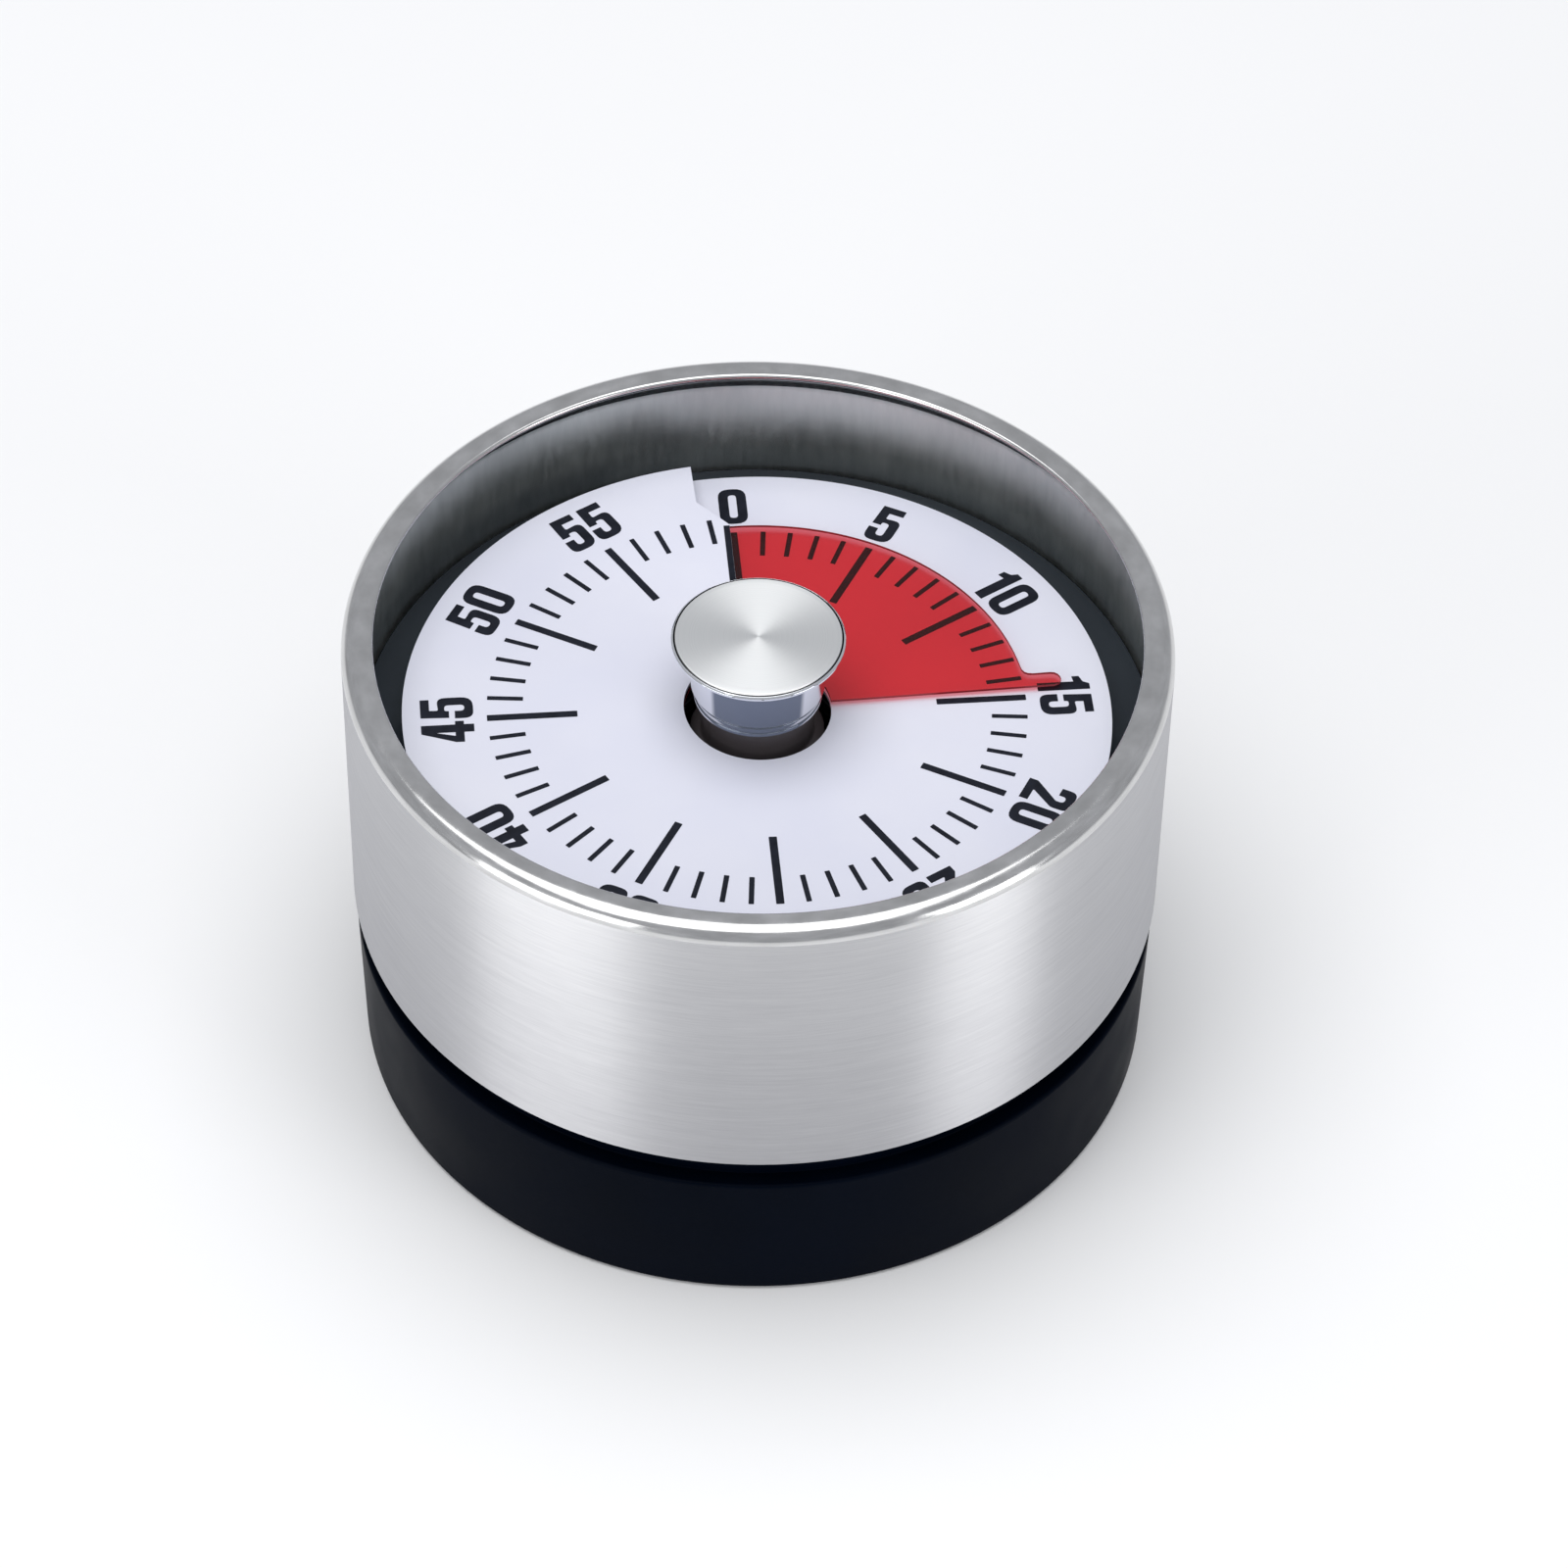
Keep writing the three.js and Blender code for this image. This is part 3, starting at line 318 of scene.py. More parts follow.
# ---------------------------------------------------------------- material helpers
class Graph:
    """A new material's node tree, with short ways to add and link nodes."""

    def __init__(self, name, **values):
        self.material = bpy.data.materials.new(name)
        self.material.use_nodes = True
        self.tree = self.material.node_tree
        self.surface = self.tree.nodes["Principled BSDF"]
        self.output = self.tree.nodes["Material Output"]
        for socket, value in values.items():
            self.surface.inputs[socket.replace("_", " ")].default_value = value

    def node(self, kind, **settings):
        made = self.tree.nodes.new(kind)
        for name, value in settings.items():
            setattr(made, name, value)
        return made

    def link(self, source, target):
        self.tree.links.new(source, target)

    def place(self):
        return self.node("ShaderNodeTexCoord").outputs["Object"]

    def scaled(self, vector, factors):
        made = self.node("ShaderNodeMapping")
        made.inputs["Scale"].default_value = factors
        self.link(vector, made.inputs["Vector"])
        return made.outputs["Vector"]

    def noise(self, vector, scale=1.0, detail=2.0, roughness=0.5):
        made = self.node("ShaderNodeTexNoise")
        made.inputs["Scale"].default_value = scale
        made.inputs["Detail"].default_value = detail
        made.inputs["Roughness"].default_value = roughness
        self.link(vector, made.inputs["Vector"])
        return made.outputs["Fac"]

    def math(self, operation, first, second=0.0):
        made = self.node("ShaderNodeMath", operation=operation)
        for socket, value in zip(made.inputs, (first, second)):
            if isinstance(value, (int, float)):
                socket.default_value = value
            else:
                self.link(value, socket)
        return made.outputs["Value"]

    def between(self, value, low, high, from_low=0.3, from_high=0.7):
        made = self.node("ShaderNodeMapRange")
        limits = {"From Min": from_low, "From Max": from_high, "To Min": low, "To Max": high}
        for name, number in limits.items():
            made.inputs[name].default_value = number
        self.link(value, made.inputs["Value"])
        return made.outputs["Result"]

    def blend(self, factor, dark, light):
        made = self.node("ShaderNodeMix", data_type="RGBA")
        colours = [s for s in made.inputs if s.type == "RGBA"]
        colours[0].default_value = (*dark, 1)
        colours[1].default_value = (*light, 1)
        self.link(factor, made.inputs["Factor"])
        return next(s for s in made.outputs if s.type == "RGBA")

    def colour(self, factor, dark, light):
        self.link(self.blend(factor, dark, light), self.surface.inputs["Base Color"])

    def roughness(self, value, low, high):
        self.link(self.between(value, low, high), self.surface.inputs["Roughness"])

    def bump(self, height, depth_mm):
        made = self.node("ShaderNodeBump")
        made.inputs["Strength"].default_value = 1.0
        made.inputs["Distance"].default_value = depth_mm * MM
        self.link(height, made.inputs["Height"])
        self.link(made.outputs["Normal"], self.surface.inputs["Normal"])

    def radial_tangent(self):
        made = self.node("ShaderNodeTangent", direction_type="RADIAL", axis="Z")
        self.link(made.outputs["Tangent"], self.surface.inputs["Tangent"])

    def place_axis(self, axis):
        """One coordinate of the place on the piece, in metres."""
        parts = self.node("ShaderNodeSeparateXYZ")
        self.link(self.place(), parts.inputs["Vector"])
        return parts.outputs[axis]

    def from_axis(self):
        """Distance from the z axis, in millimetres."""
        squares = [self.math("POWER", self.place_axis(axis), 2.0) for axis in ("X", "Y")]
        return self.math("MULTIPLY", self.math("SQRT", self.math("ADD", *squares)), 1 / MM)

    def ring_vector(self, per_mm):
        """A vector that changes only with distance from the z axis, so its noise makes rings."""
        joined = self.node("ShaderNodeCombineXYZ")
        self.link(self.math("MULTIPLY", self.from_axis(), per_mm), joined.inputs["X"])
        return joined.outputs["Vector"]


def grey(level):
    return (level, level, level)


# ---------------------------------------------------------------- materials
def brushed_steel():
    """Fine streaks that run round the shell, over slow cloudy changes, with painted shade that darkens it
    towards the foot.
    """
    g = Graph("brushed_steel", Metallic=1.0, Anisotropic=0.95, Anisotropic_Rotation=0.25)
    fine = g.noise(g.scaled(g.place(), (300, 300, 12000)), detail=3, roughness=0.6)
    broad = g.noise(g.scaled(g.place(), (90, 90, 2600)), detail=2)
    cloud = g.noise(g.place(), scale=70, detail=3)
    streaks = g.math("ADD", g.math("MULTIPLY", fine, 0.6), g.math("MULTIPLY", broad, 0.4))
    mixed = g.math("ADD", g.math("MULTIPLY", streaks, 0.8), g.math("MULTIPLY", cloud, 0.2))
    grain = g.between(mixed, 0.06, 0.44, 0.35, 0.65)
    # Painted shade: the steel's colour is made darker towards the foot and lighter towards the lip, standing
    # in for the dimmer light low on the shell.
    height = g.between(g.place_axis("Z"), 0, 0.5, SHELL_LOW * MM, SHELL_HIGH * MM)
    g.colour(g.math("ADD", grain, height), (0.49, 0.49, 0.51), (0.78, 0.78, 0.79))
    g.roughness(streaks, 0.45, 0.54)
    g.bump(streaks, 0.003)
    g.radial_tangent()
    return g.material


def polished_steel():
    """The rolled lip, rubbed bright, with a few faint marks along it."""
    g = Graph("polished_steel", Metallic=1.0, Anisotropic=0.3, Anisotropic_Rotation=0.25)
    marks = g.noise(g.scaled(g.place(), (300, 300, 3000)), detail=3)
    g.colour(g.between(marks, 0, 1), (0.56, 0.56, 0.555), (0.68, 0.68, 0.68))
    g.roughness(marks, 0.13, 0.24)
    g.bump(marks, 0.003)
    g.radial_tangent()
    return g.material


def bare_steel(name, rough, dark, light):
    """The inside of the shell: plain drawn steel, left unbrushed. With dark colours it gives the painted
    shade just under the lip.
    """
    g = Graph(name, Metallic=1.0)
    drawn = g.noise(g.scaled(g.place(), (1500, 1500, 300)), detail=2)
    cloud = g.noise(g.place(), scale=120, detail=3)
    mixed = g.math("ADD", g.math("MULTIPLY", drawn, 0.5), g.math("MULTIPLY", cloud, 0.5))
    g.colour(g.between(mixed, 0, 1), dark, light)
    g.roughness(mixed, *rough)
    g.bump(mixed, 0.002)
    return g.material


def moulded(name, dark, light, rough, grain_mm=0.25, depth_mm=0.01, **values):
    """Moulded plastic or rubber: a fine even grain with slow changes of gloss."""
    g = Graph(name, **values)
    grain = g.noise(g.place(), scale=1 / (grain_mm * MM), detail=2)
    slow = g.noise(g.place(), scale=90, detail=2)
    g.colour(g.between(slow, 0, 1), dark, light)
    g.roughness(slow, *rough)
    g.bump(grain, depth_mm)
    return g.material


def dial_white():
    g = Graph("dial_white", Roughness=0.38, Specular_IOR_Level=0.35)
    slow = g.noise(g.place(), scale=60, detail=3)
    g.colour(g.between(slow, 0, 1), (0.76, 0.77, 0.885), (0.81, 0.815, 0.905))
    g.roughness(slow, 0.32, 0.44)
    g.bump(g.noise(g.place(), scale=2500, detail=1), 0.003)
    return g.material


def print_ink():
    g = Graph("print_ink", Roughness=0.45, Specular_IOR_Level=0.15)
    patch = g.noise(g.place(), scale=900, detail=2)
    g.colour(g.between(patch, 0, 1), (0.006, 0.0075, 0.014), (0.012, 0.0145, 0.025))
    g.roughness(patch, 0.38, 0.55)
    return g.material


def red_film():
    """Clear red film: it tints what lies under it, scatters a little red and its outer faces shine."""
    g = Graph("red_film", Roughness=0.3, Specular_IOR_Level=0.3)
    scuffs = g.noise(g.scaled(g.place(), (300, 900, 300)), detail=3)
    g.colour(g.between(scuffs, 0, 1), (0.5, 0.018, 0.022), (0.62, 0.03, 0.035))
    g.roughness(scuffs, 0.14, 0.3)
    tint_of_one_face = (0.946, 0.422, 0.447, 1)
    scattered_share = 0.015
    clear = g.node("ShaderNodeBsdfTransparent")
    clear.inputs["Color"].default_value = tint_of_one_face
    body = g.node("ShaderNodeMixShader")
    body.inputs["Fac"].default_value = scattered_share
    g.link(clear.outputs["BSDF"], body.inputs[1])
    g.link(g.surface.outputs["BSDF"], body.inputs[2])
    gloss = g.node("ShaderNodeBsdfGlossy")
    gloss.inputs["Roughness"].default_value = 0.18
    slant = g.node("ShaderNodeFresnel")
    slant.inputs["IOR"].default_value = 1.4
    outside = g.math("SUBTRACT", 1.0, g.node("ShaderNodeNewGeometry").outputs["Backfacing"])
    both = g.node("ShaderNodeMixShader")
    g.link(g.math("MULTIPLY", slant.outputs["Fac"], outside), both.inputs["Fac"])
    g.link(body.outputs["Shader"], both.inputs[1])
    g.link(gloss.outputs["BSDF"], both.inputs[2])
    g.link(both.outputs["Shader"], g.output.inputs["Surface"])
    return g.material


def plated(name, dark, light):
    """Mirror plating with a faint haze."""
    g = Graph(name, Metallic=1.0)
    haze = g.noise(g.place(), scale=400, detail=3)
    g.colour(g.between(haze, 0, 1), dark, light)
    g.roughness(haze, 0.04, 0.1)
    return g.material


def neck_chrome():
    """Mirror plating with a painted reflection: its colour is painted dark where it is seen square on and
    painted bright where it turns away at the sides.
    """
    g = Graph("chrome_painted_reflection", Metallic=1.0)
    haze = g.noise(g.place(), scale=400, detail=3)
    turned_away = g.node("ShaderNodeLayerWeight").outputs["Facing"]
    strip_start, strip_full = 0.485, 0.525
    painted_side_reflection = g.between(turned_away, 0, 1, strip_start, strip_full)
    # Painted reflection: dark in the middle of the neck, bright strips at its sides, set by how far the
    # surface turns from the view.
    g.colour(painted_side_reflection, (0.185, 0.21, 0.265), (0.78, 0.79, 0.83))
    g.roughness(haze, 0.04, 0.1)
    return g.material


def spun_aluminium():
    """A face turned on a lathe: fine rings, with light drawn out across them."""
    g = Graph("spun_aluminium", Metallic=1.0, Anisotropic=0.65, Anisotropic_Rotation=0.25)
    rings_per_mm = 9.0
    rings = g.noise(g.ring_vector(rings_per_mm), detail=3, roughness=0.7)
    g.colour(g.between(rings, 0, 1), (0.82, 0.83, 0.83), (0.9, 0.91, 0.905))
    g.roughness(rings, 0.38, 0.46)
    g.bump(rings, 0.002)
    g.radial_tangent()
    return g.material


def metal(name, dark, light, rough, streaks=(1600, 1600, 1600), depth_mm=0.002):
    """Plain machined or stamped metal with a grain of its own."""
    g = Graph(name, Metallic=1.0)
    grain = g.noise(g.scaled(g.place(), streaks), detail=3)
    g.colour(g.between(grain, 0, 1), dark, light)
    g.roughness(grain, *rough)
    g.bump(grain, depth_mm)
    return g.material


STEEL = brushed_steel()
LIP = polished_steel()
BARE = bare_steel("bare_steel", (0.4, 0.5), (0.68, 0.72, 0.7), (0.8, 0.835, 0.815))
# Painted shade: a darker, glossier copy of the inside steel for the band just under the lip, where shade
# falls.
CORNER_PAINTED_SHADE = bare_steel("corner_steel_painted_shade", (0.17, 0.28), (0.2, 0.21, 0.22), (0.28, 0.29, 0.3))
BLACK = moulded("black_plastic", (0.0002, 0.0014, 0.0046), (0.0007, 0.0022, 0.0066), (0.36, 0.5),
                Specular_IOR_Level=0.025)
GLOSS = moulded("gloss_black", (0.022, 0.028, 0.038), (0.029, 0.037, 0.048), (0.07, 0.15), depth_mm=0.002,
                Specular_IOR_Level=0.3)
HUB = moulded("hub_plastic", (0.07, 0.06, 0.063), (0.095, 0.083, 0.088), (0.3, 0.45))
WHITE = dial_white()
INK = print_ink()
FILM = red_film()
FILM_EDGE = moulded("film_edge", (0.28, 0.012, 0.02), (0.36, 0.02, 0.03), (0.35, 0.5), depth_mm=0.002)
CHROME = plated("chrome", (0.78, 0.8, 0.84), (0.84, 0.86, 0.89))
NECK = neck_chrome()
SPUN = spun_aluminium()
RUBBER = moulded("rubber", (0.012, 0.012, 0.013), (0.02, 0.02, 0.021), (0.7, 0.9), grain_mm=0.15,
                 depth_mm=0.03)
ZINC = metal("zinc_steel", (0.4, 0.42, 0.45), (0.56, 0.57, 0.6), (0.25, 0.42))
SPRING = metal("spring_steel", (0.2, 0.22, 0.26), (0.3, 0.32, 0.36), (0.2, 0.35), (900, 900, 200))
BRASS = metal("brass", (0.56, 0.38, 0.12), (0.68, 0.48, 0.18), (0.2, 0.36), (300, 3000, 300))
NICKEL = metal("nickel", (0.5, 0.5, 0.51), (0.62, 0.62, 0.63), (0.12, 0.28))


# ---------------------------------------------------------------- shell, base and underside
SHELL_FINISHES = [STEEL, LIP, BARE, CORNER_PAINTED_SHADE]
ON_STEEL, ON_LIP, ON_BARE, ON_PAINTED_SHADE = range(len(SHELL_FINISHES))
ROLL_R = 1.6  # outer rounding, where the wall rolls over into the lip
BEND_R = 3.4  # the same bend seen from inside the shell
LIP_EDGE_Z = SHELL_HIGH - 0.75  # underside of the lip's bead
BEAD_R = 0.32  # rounding of the lip's inner edge


def shell_zone(r, z):
    """Which finish of the shell's list a face at this radius and height has."""
    inside = r < SHELL_R - SHEET + 0.05 and z < LIP_EDGE_Z
    if inside:
        # Inside faces just under the lip take the darker steel of painted shade.
        return ON_PAINTED_SHADE if z > SHELL_HIGH - BEND_R else ON_BARE
    return ON_LIP if z > SHELL_HIGH - 1.5 else ON_STEEL


def make_shell():
    inner = SHELL_R - SHEET
    bend_z = SHELL_HIGH - SHEET - 0.1 - BEND_R
    outline = [
        *rounded([(inner, SHELL_LOW, 0.1), (SHELL_R, SHELL_LOW, 0.15), (SHELL_R, SHELL_LOW + 2)])[:-1],
        *arc(SHELL_R - ROLL_R, SHELL_HIGH - ROLL_R, ROLL_R, 0, 90, 14),
        Vector((LIP_R + 0.9, SHELL_HIGH - 0.03)),
        *arc(LIP_R + BEAD_R, LIP_EDGE_Z + 0.35, BEAD_R, 80, 200, 7),
        Vector((LIP_R + 0.35, LIP_EDGE_Z + 0.02)),
        *arc(inner - BEND_R, bend_z, BEND_R, 66, 0, 12),
    ]
    shell = turned(outline, zone_of=shell_zone)
    piece("outer_shell", shell, SHELL_FINISHES, ["steel_shell"], sharp_degrees=50)


def make_base():
    low = GAP / 2
    wall_r = SHELL_R - SHEET - 0.35
    ledge_z = SHELL_LOW + 0.9
    carrier_z = FLOOR_LOW - GAP
    seat_r = CASE_R + 0.6
    outline = rounded([
        (seat_r, low, 0.15), (BASE_FOOT_R - 0.1, low, 0.5), (BASE_R, BASE_SHOULDER_Z, 0.4),
        (NECK_R, BASE_SHOULDER_Z, 0.1), (NECK_R, ledge_z), (wall_r, ledge_z), (wall_r, carrier_z),
        (CASE_R, carrier_z), (CASE_R, COVER_TOP + GAP), (seat_r, COVER_TOP + GAP),
    ], steps=6)
    body = turned(outline)
    bore_r, post_r, post_low, post_high = 1.05, 2.6, COVER_TOP + GAP, 12
    post = rounded([
        (bore_r, post_low), (post_r, post_low, 0.2), (post_r, post_high, 0.2), (bore_r, post_high),
    ])
    for angle in COVER_SCREW_ANGLES:
        at = polar(COVER_SCREW_RING_R, angle)
        made = turned(post, SMALL_SIDES, centre=at[:2])
        body.add(made.corners, made.faces)
    piece("base_body", body, [BLACK], ["base_housing"])


def make_cover():
    low = COVER_LOW
    groove_in, groove_out = FOOT_IN_R - FOOT_GROOVE_CLEARANCE, FOOT_OUT_R + FOOT_GROOVE_CLEARANCE
    groove_top = low + 0.8
    outline = rounded([
        (0, low), (groove_in, low, 0.15), (groove_in, groove_top), (groove_out, groove_top),
        (groove_out, low, 0.15), (COVER_R, low, 0.3), (COVER_R, COVER_TOP, 0.2), (0, COVER_TOP),
    ])
    pocket_r, pocket_top = MAGNET_R + GAP, MAGNET_TOP + GAP
    pocket = [(0, -1), (pocket_r, -1), (pocket_r, pocket_top), (0, pocket_top)]
    sink_r, sink_top = COVER_SCREW_HEAD_R + GAP, 1.9
    hole_r, hole_top = 1.25, 4
    sink = [
        (0, -1), (sink_r, -1), (sink_r, sink_top), (hole_r, sink_top), (hole_r, hole_top), (0, hole_top),
    ]
    cutters = []
    for angle in MAGNET_ANGLES:
        at = polar(MAGNET_RING_R, angle)
        cutters.append(turned(pocket, DISC_SIDES, centre=at[:2]))
    for angle in COVER_SCREW_ANGLES:
        at = polar(COVER_SCREW_RING_R, angle)
        cutters.append(turned(sink, SMALL_SIDES, centre=at[:2]))
    made = piece("cover_plate", carved(turned(outline), cutters), [BLACK], ["back_cover"])
    soften(made, 0.12)


def soften(made, width_mm):
    """Rounds the sharp edges that cutting left."""
    bevel = made.modifiers.new("soft_edges", "BEVEL")
    bevel.width = width_mm * MM
    bevel.segments = 2
    bevel.limit_method = "ANGLE"
    bevel.angle_limit = math.radians(50)
    bevel.use_clamp_overlap = True


def make_foot():
    outline = rounded([
        (FOOT_IN_R, 0, 0.35), (FOOT_OUT_R, 0, 0.35), (FOOT_OUT_R + 0.1, FOOT_TOP, 0.1),
        (FOOT_IN_R - 0.1, FOOT_TOP, 0.1),
    ], steps=5)
    piece("rubber_foot", turned(outline), [RUBBER], ["foot_ring"])


def make_magnets():
    outline = rounded([
        (0, MAGNET_LOW), (MAGNET_R, MAGNET_LOW, 0.25), (MAGNET_R, MAGNET_TOP, 0.2), (0, MAGNET_TOP),
    ])
    for i, angle in enumerate(MAGNET_ANGLES):
        at = polar(MAGNET_RING_R, angle)
        made = turned(outline, DISC_SIDES, centre=at[:2])
        piece(f"magnet_disc_{i + 1}", made, [NICKEL], [f"magnet_{i + 1}"])


def make_cover_screws():
    head, head_low, head_top = COVER_SCREW_HEAD_R, 0.7, 1.7
    shank, tip = 0.85, 9.7
    outline = rounded([
        (0, head_low), (head, head_low, 0.35), (head, head_top, 0.05), (shank, head_top), (shank, tip),
        (0, tip),
    ])
    half_length, half_width, slot_top = 4, 0.22, 1.25
    slot_outline = (
        (-half_length, -half_width), (half_length, -half_width),
        (half_length, half_width), (-half_length, half_width),
    )
    box_faces = [[0, 1, 2, 3], [4, 5, 6, 7], [0, 1, 5, 4], [1, 2, 6, 5], [2, 3, 7, 6], [3, 0, 4, 7]]
    for i, angle in enumerate(COVER_SCREW_ANGLES):
        at = polar(COVER_SCREW_RING_R, angle)
        corners = [Vector((x, y, z)) + at for z in (0, slot_top) for x, y in slot_outline]
        slot = Shape().add(corners, box_faces)
        made = carved(turned(outline, SMALL_SIDES, centre=at[:2]), [slot])
        piece(f"case_screw_{i + 1}", made, [ZINC], [f"cover_screw_{i + 1}"])


# ---------------------------------------------------------------- well floor, dial and print
def helix_band(inner, outer, start, end, top, bottom, steps=180):
    """A band between two radii and two minute angles, whose top and bottom depend on the angle."""
    columns = []
    for i in range(steps + 1):
        degrees = start + (end - start) * i / steps
        columns.append(([degrees, degrees], [inner, outer]))
    return sheet_between(columns, top, bottom)


def make_floor():
    edge_r = SHELL_R - SHEET - GAP
    floor = turned(rounded([
        (KNOB_R, FLOOR_LOW), (SKIRT_IN_R, FLOOR_LOW), (SKIRT_IN_R, SKIRT_LOW), (SKIRT_OUT_R, SKIRT_LOW),
        (SKIRT_OUT_R, FLOOR_LOW), (edge_r, FLOOR_LOW, 0.2), (edge_r, FLOOR_TOP, 0.2),
        (KNOB_R, FLOOR_TOP, 0.2),
    ]))
    inner, outer = FILM_R + 0.7, DIAL_R - 0.4
    overlap = side_angle(FLAP_OVERLAP, inner) + 0.5
    ramp = helix_band(inner, outer, -overlap, 359 - overlap, lambda d: dial_face(d) - DIAL_THICK - GAP,
                      lambda d: FLOOR_TOP - 0.7)
    ledge = helix_band(outer - 0.5, LEDGE_R, 0, LEDGE_END, lambda d: FLOOR_TOP + 1.1,
                       lambda d: FLOOR_TOP - 0.5, 60)
    for part in (ramp, ledge):
        floor.add(part.corners, part.faces)
    bore_r, post_r, post_low, post_high = 0.95, 2.4, 28.9, FLOOR_LOW + 0.4
    post = rounded([(bore_r, post_low), (post_r, post_low, 0.2), (post_r, post_high), (bore_r, post_high)])
    for angle in MOVEMENT_SCREW_ANGLES:
        at = polar(MOVEMENT_SCREW_RING_R, angle)
        made = turned(post, SMALL_SIDES, centre=at[:2])
        floor.add(made.corners, made.faces)
    piece("well_floor", floor, [GLOSS], ["dial_carrier"])


def flap_edge_x(r):
    """How far left of the 0 mark the raised flap ends, with the notch that shows the pointer at 0."""
    corners = [(0, SLIT_X), (24.75, SLIT_X), (28.44, 3.7), (DIAL_R + 1, 3.92)]
    for (r0, x0), (r1, x1) in zip(corners, corners[1:]):
        if r <= r1:
            return x0 + (x1 - x0) * (r - r0) / (r1 - r0)
    return corners[-1][1]


def make_dial():
    radii = [DIAL_HOLE_R, 10, 14, 18, 21, 24, 24.75, 25.5, 26.4, 27.4, 28.44, 30, 32, DIAL_R]
    steps = 360
    columns = []
    for i in range(steps + 1):
        angles = []
        for r in radii:
            start, end = -side_angle(FLAP_OVERLAP, r), 360 - side_angle(flap_edge_x(r), r)
            angles.append(start + (end - start) * i / steps)
        columns.append((angles, radii))
    shape = sheet_between(columns, dial_face, lambda d: dial_face(d) - DIAL_THICK)
    piece("dial_plate", shape, [WHITE], ["dial"])


INK_LOW, INK_HIGH = 0.006, 0.03  # the print's underside and top, above the dial's face


def lay_on_dial(turn_degrees, centre_r):
    """A place function for prism: a flat shape upright at this minute angle, wrapped on the rising dial."""
    def place(x, y, layer):
        r = centre_r + y
        degrees = math.degrees(math.atan2(x, r)) + turn_degrees
        z = dial_face(degrees) + (INK_HIGH if layer else INK_LOW)
        return on_dial(math.hypot(x, r), degrees, z)

    return place


GLYPH_W, GLYPH_H = 2.75, 5.0
GLYPHS = {
    "0": [
        [(0, 0, 1.2), (2.75, 0, 1.2), (2.75, 5, 1.2), (0, 5, 1.2)],
        [(0.97, 0.85, 0.42), (1.78, 0.85, 0.42), (1.78, 4.15, 0.42), (0.97, 4.15, 0.42)],
    ],
    "1": [[
        (0.72, 0, 0.04), (1.8, 0, 0.04), (1.8, 5, 0.04), (1.05, 5, 0.04), (0.75, 4.4, 0.3), (0, 4.1, 0.05),
        (0, 3.4, 0.05), (0.72, 3.52, 0.05),
    ]],
    "2": [[
        (0, 3.35, 0.04), (0, 5, 1.2), (2.7, 5, 1.2), (2.7, 3.2, 0.8), (1.22, 0.88, 0.1),
        (2.7, 0.88, 0.04), (2.7, 0, 0.04), (0, 0, 0.04), (0, 0.85, 0.3), (1.75, 3.35, 0.4),
        (1.75, 4.15, 0.4), (0.95, 4.15, 0.4), (0.95, 3.35, 0.04),
    ]],
    "3": [[
        (0, 3.55, 0.04), (0, 5, 1.2), (2.7, 5, 1.2), (2.7, 3.05, 0.5), (2.3, 2.62, 0.12),
        (2.75, 2.2, 0.5), (2.75, 0, 1.2), (0, 0, 1.2), (0, 1.6, 0.04), (0.96, 1.6, 0.04),
        (0.96, 0.83, 0.4), (1.78, 0.83, 0.4), (1.78, 2.2, 0.4), (1.0, 2.28, 0.08), (1.0, 2.98, 0.08),
        (1.74, 3.0, 0.4), (1.74, 4.17, 0.4), (0.96, 4.17, 0.4), (0.96, 3.55, 0.04),
    ]],
    "4": [
        [(1.2, 5, 0.04), (2.3, 5, 0.04), (2.3, 1.78, 0.04), (2.75, 1.78, 0.04), (2.75, 0.95, 0.04),
         (2.3, 0.95, 0.04), (2.3, 0, 0.04), (1.3, 0, 0.04), (1.3, 0.95, 0.04), (0, 0.95, 0.04),
         (0, 1.75, 0.1)],
        [(0.8, 1.78, 0.03), (1.3, 1.78, 0.03), (1.3, 3.7, 0.03)],
    ],
    "5": [[
        (0.2, 5, 0.04), (2.58, 5, 0.04), (2.58, 4.15, 0.04), (1.12, 4.15, 0.04), (1.08, 3.3, 0.2),
        (2.75, 3.45, 1.0), (2.75, 0, 1.2), (0, 0, 1.2), (0, 1.75, 0.04), (0.97, 1.75, 0.04),
        (0.97, 0.82, 0.4), (1.78, 0.82, 0.4), (1.78, 2.72, 0.4), (1.0, 2.72, 0.35), (0.98, 2.3, 0.04),
        (0.1, 2.3, 0.04),
    ]],
}
ADVANCE = {"1": 1.95}
LETTER_GAP = 0.38


def number_loops(text):
    """The outlines of a number, centred on (0, 0)."""
    widths = [ADVANCE.get(digit, GLYPH_W) for digit in text]
    x = -(sum(widths) + LETTER_GAP * (len(text) - 1)) / 2
    for digit, width in zip(text, widths):
        shift = Vector((x, -GLYPH_H / 2))
        yield [[point + shift for point in rounded(loop, 5)] for loop in GLYPHS[digit]]
        x += width + LETTER_GAP


def box_loop(x0, x1, y0, y1):
    return rounded([(x0, y0, 0.06), (x1, y0, 0.06), (x1, y1, 0.06), (x0, y1, 0.06)], 2)


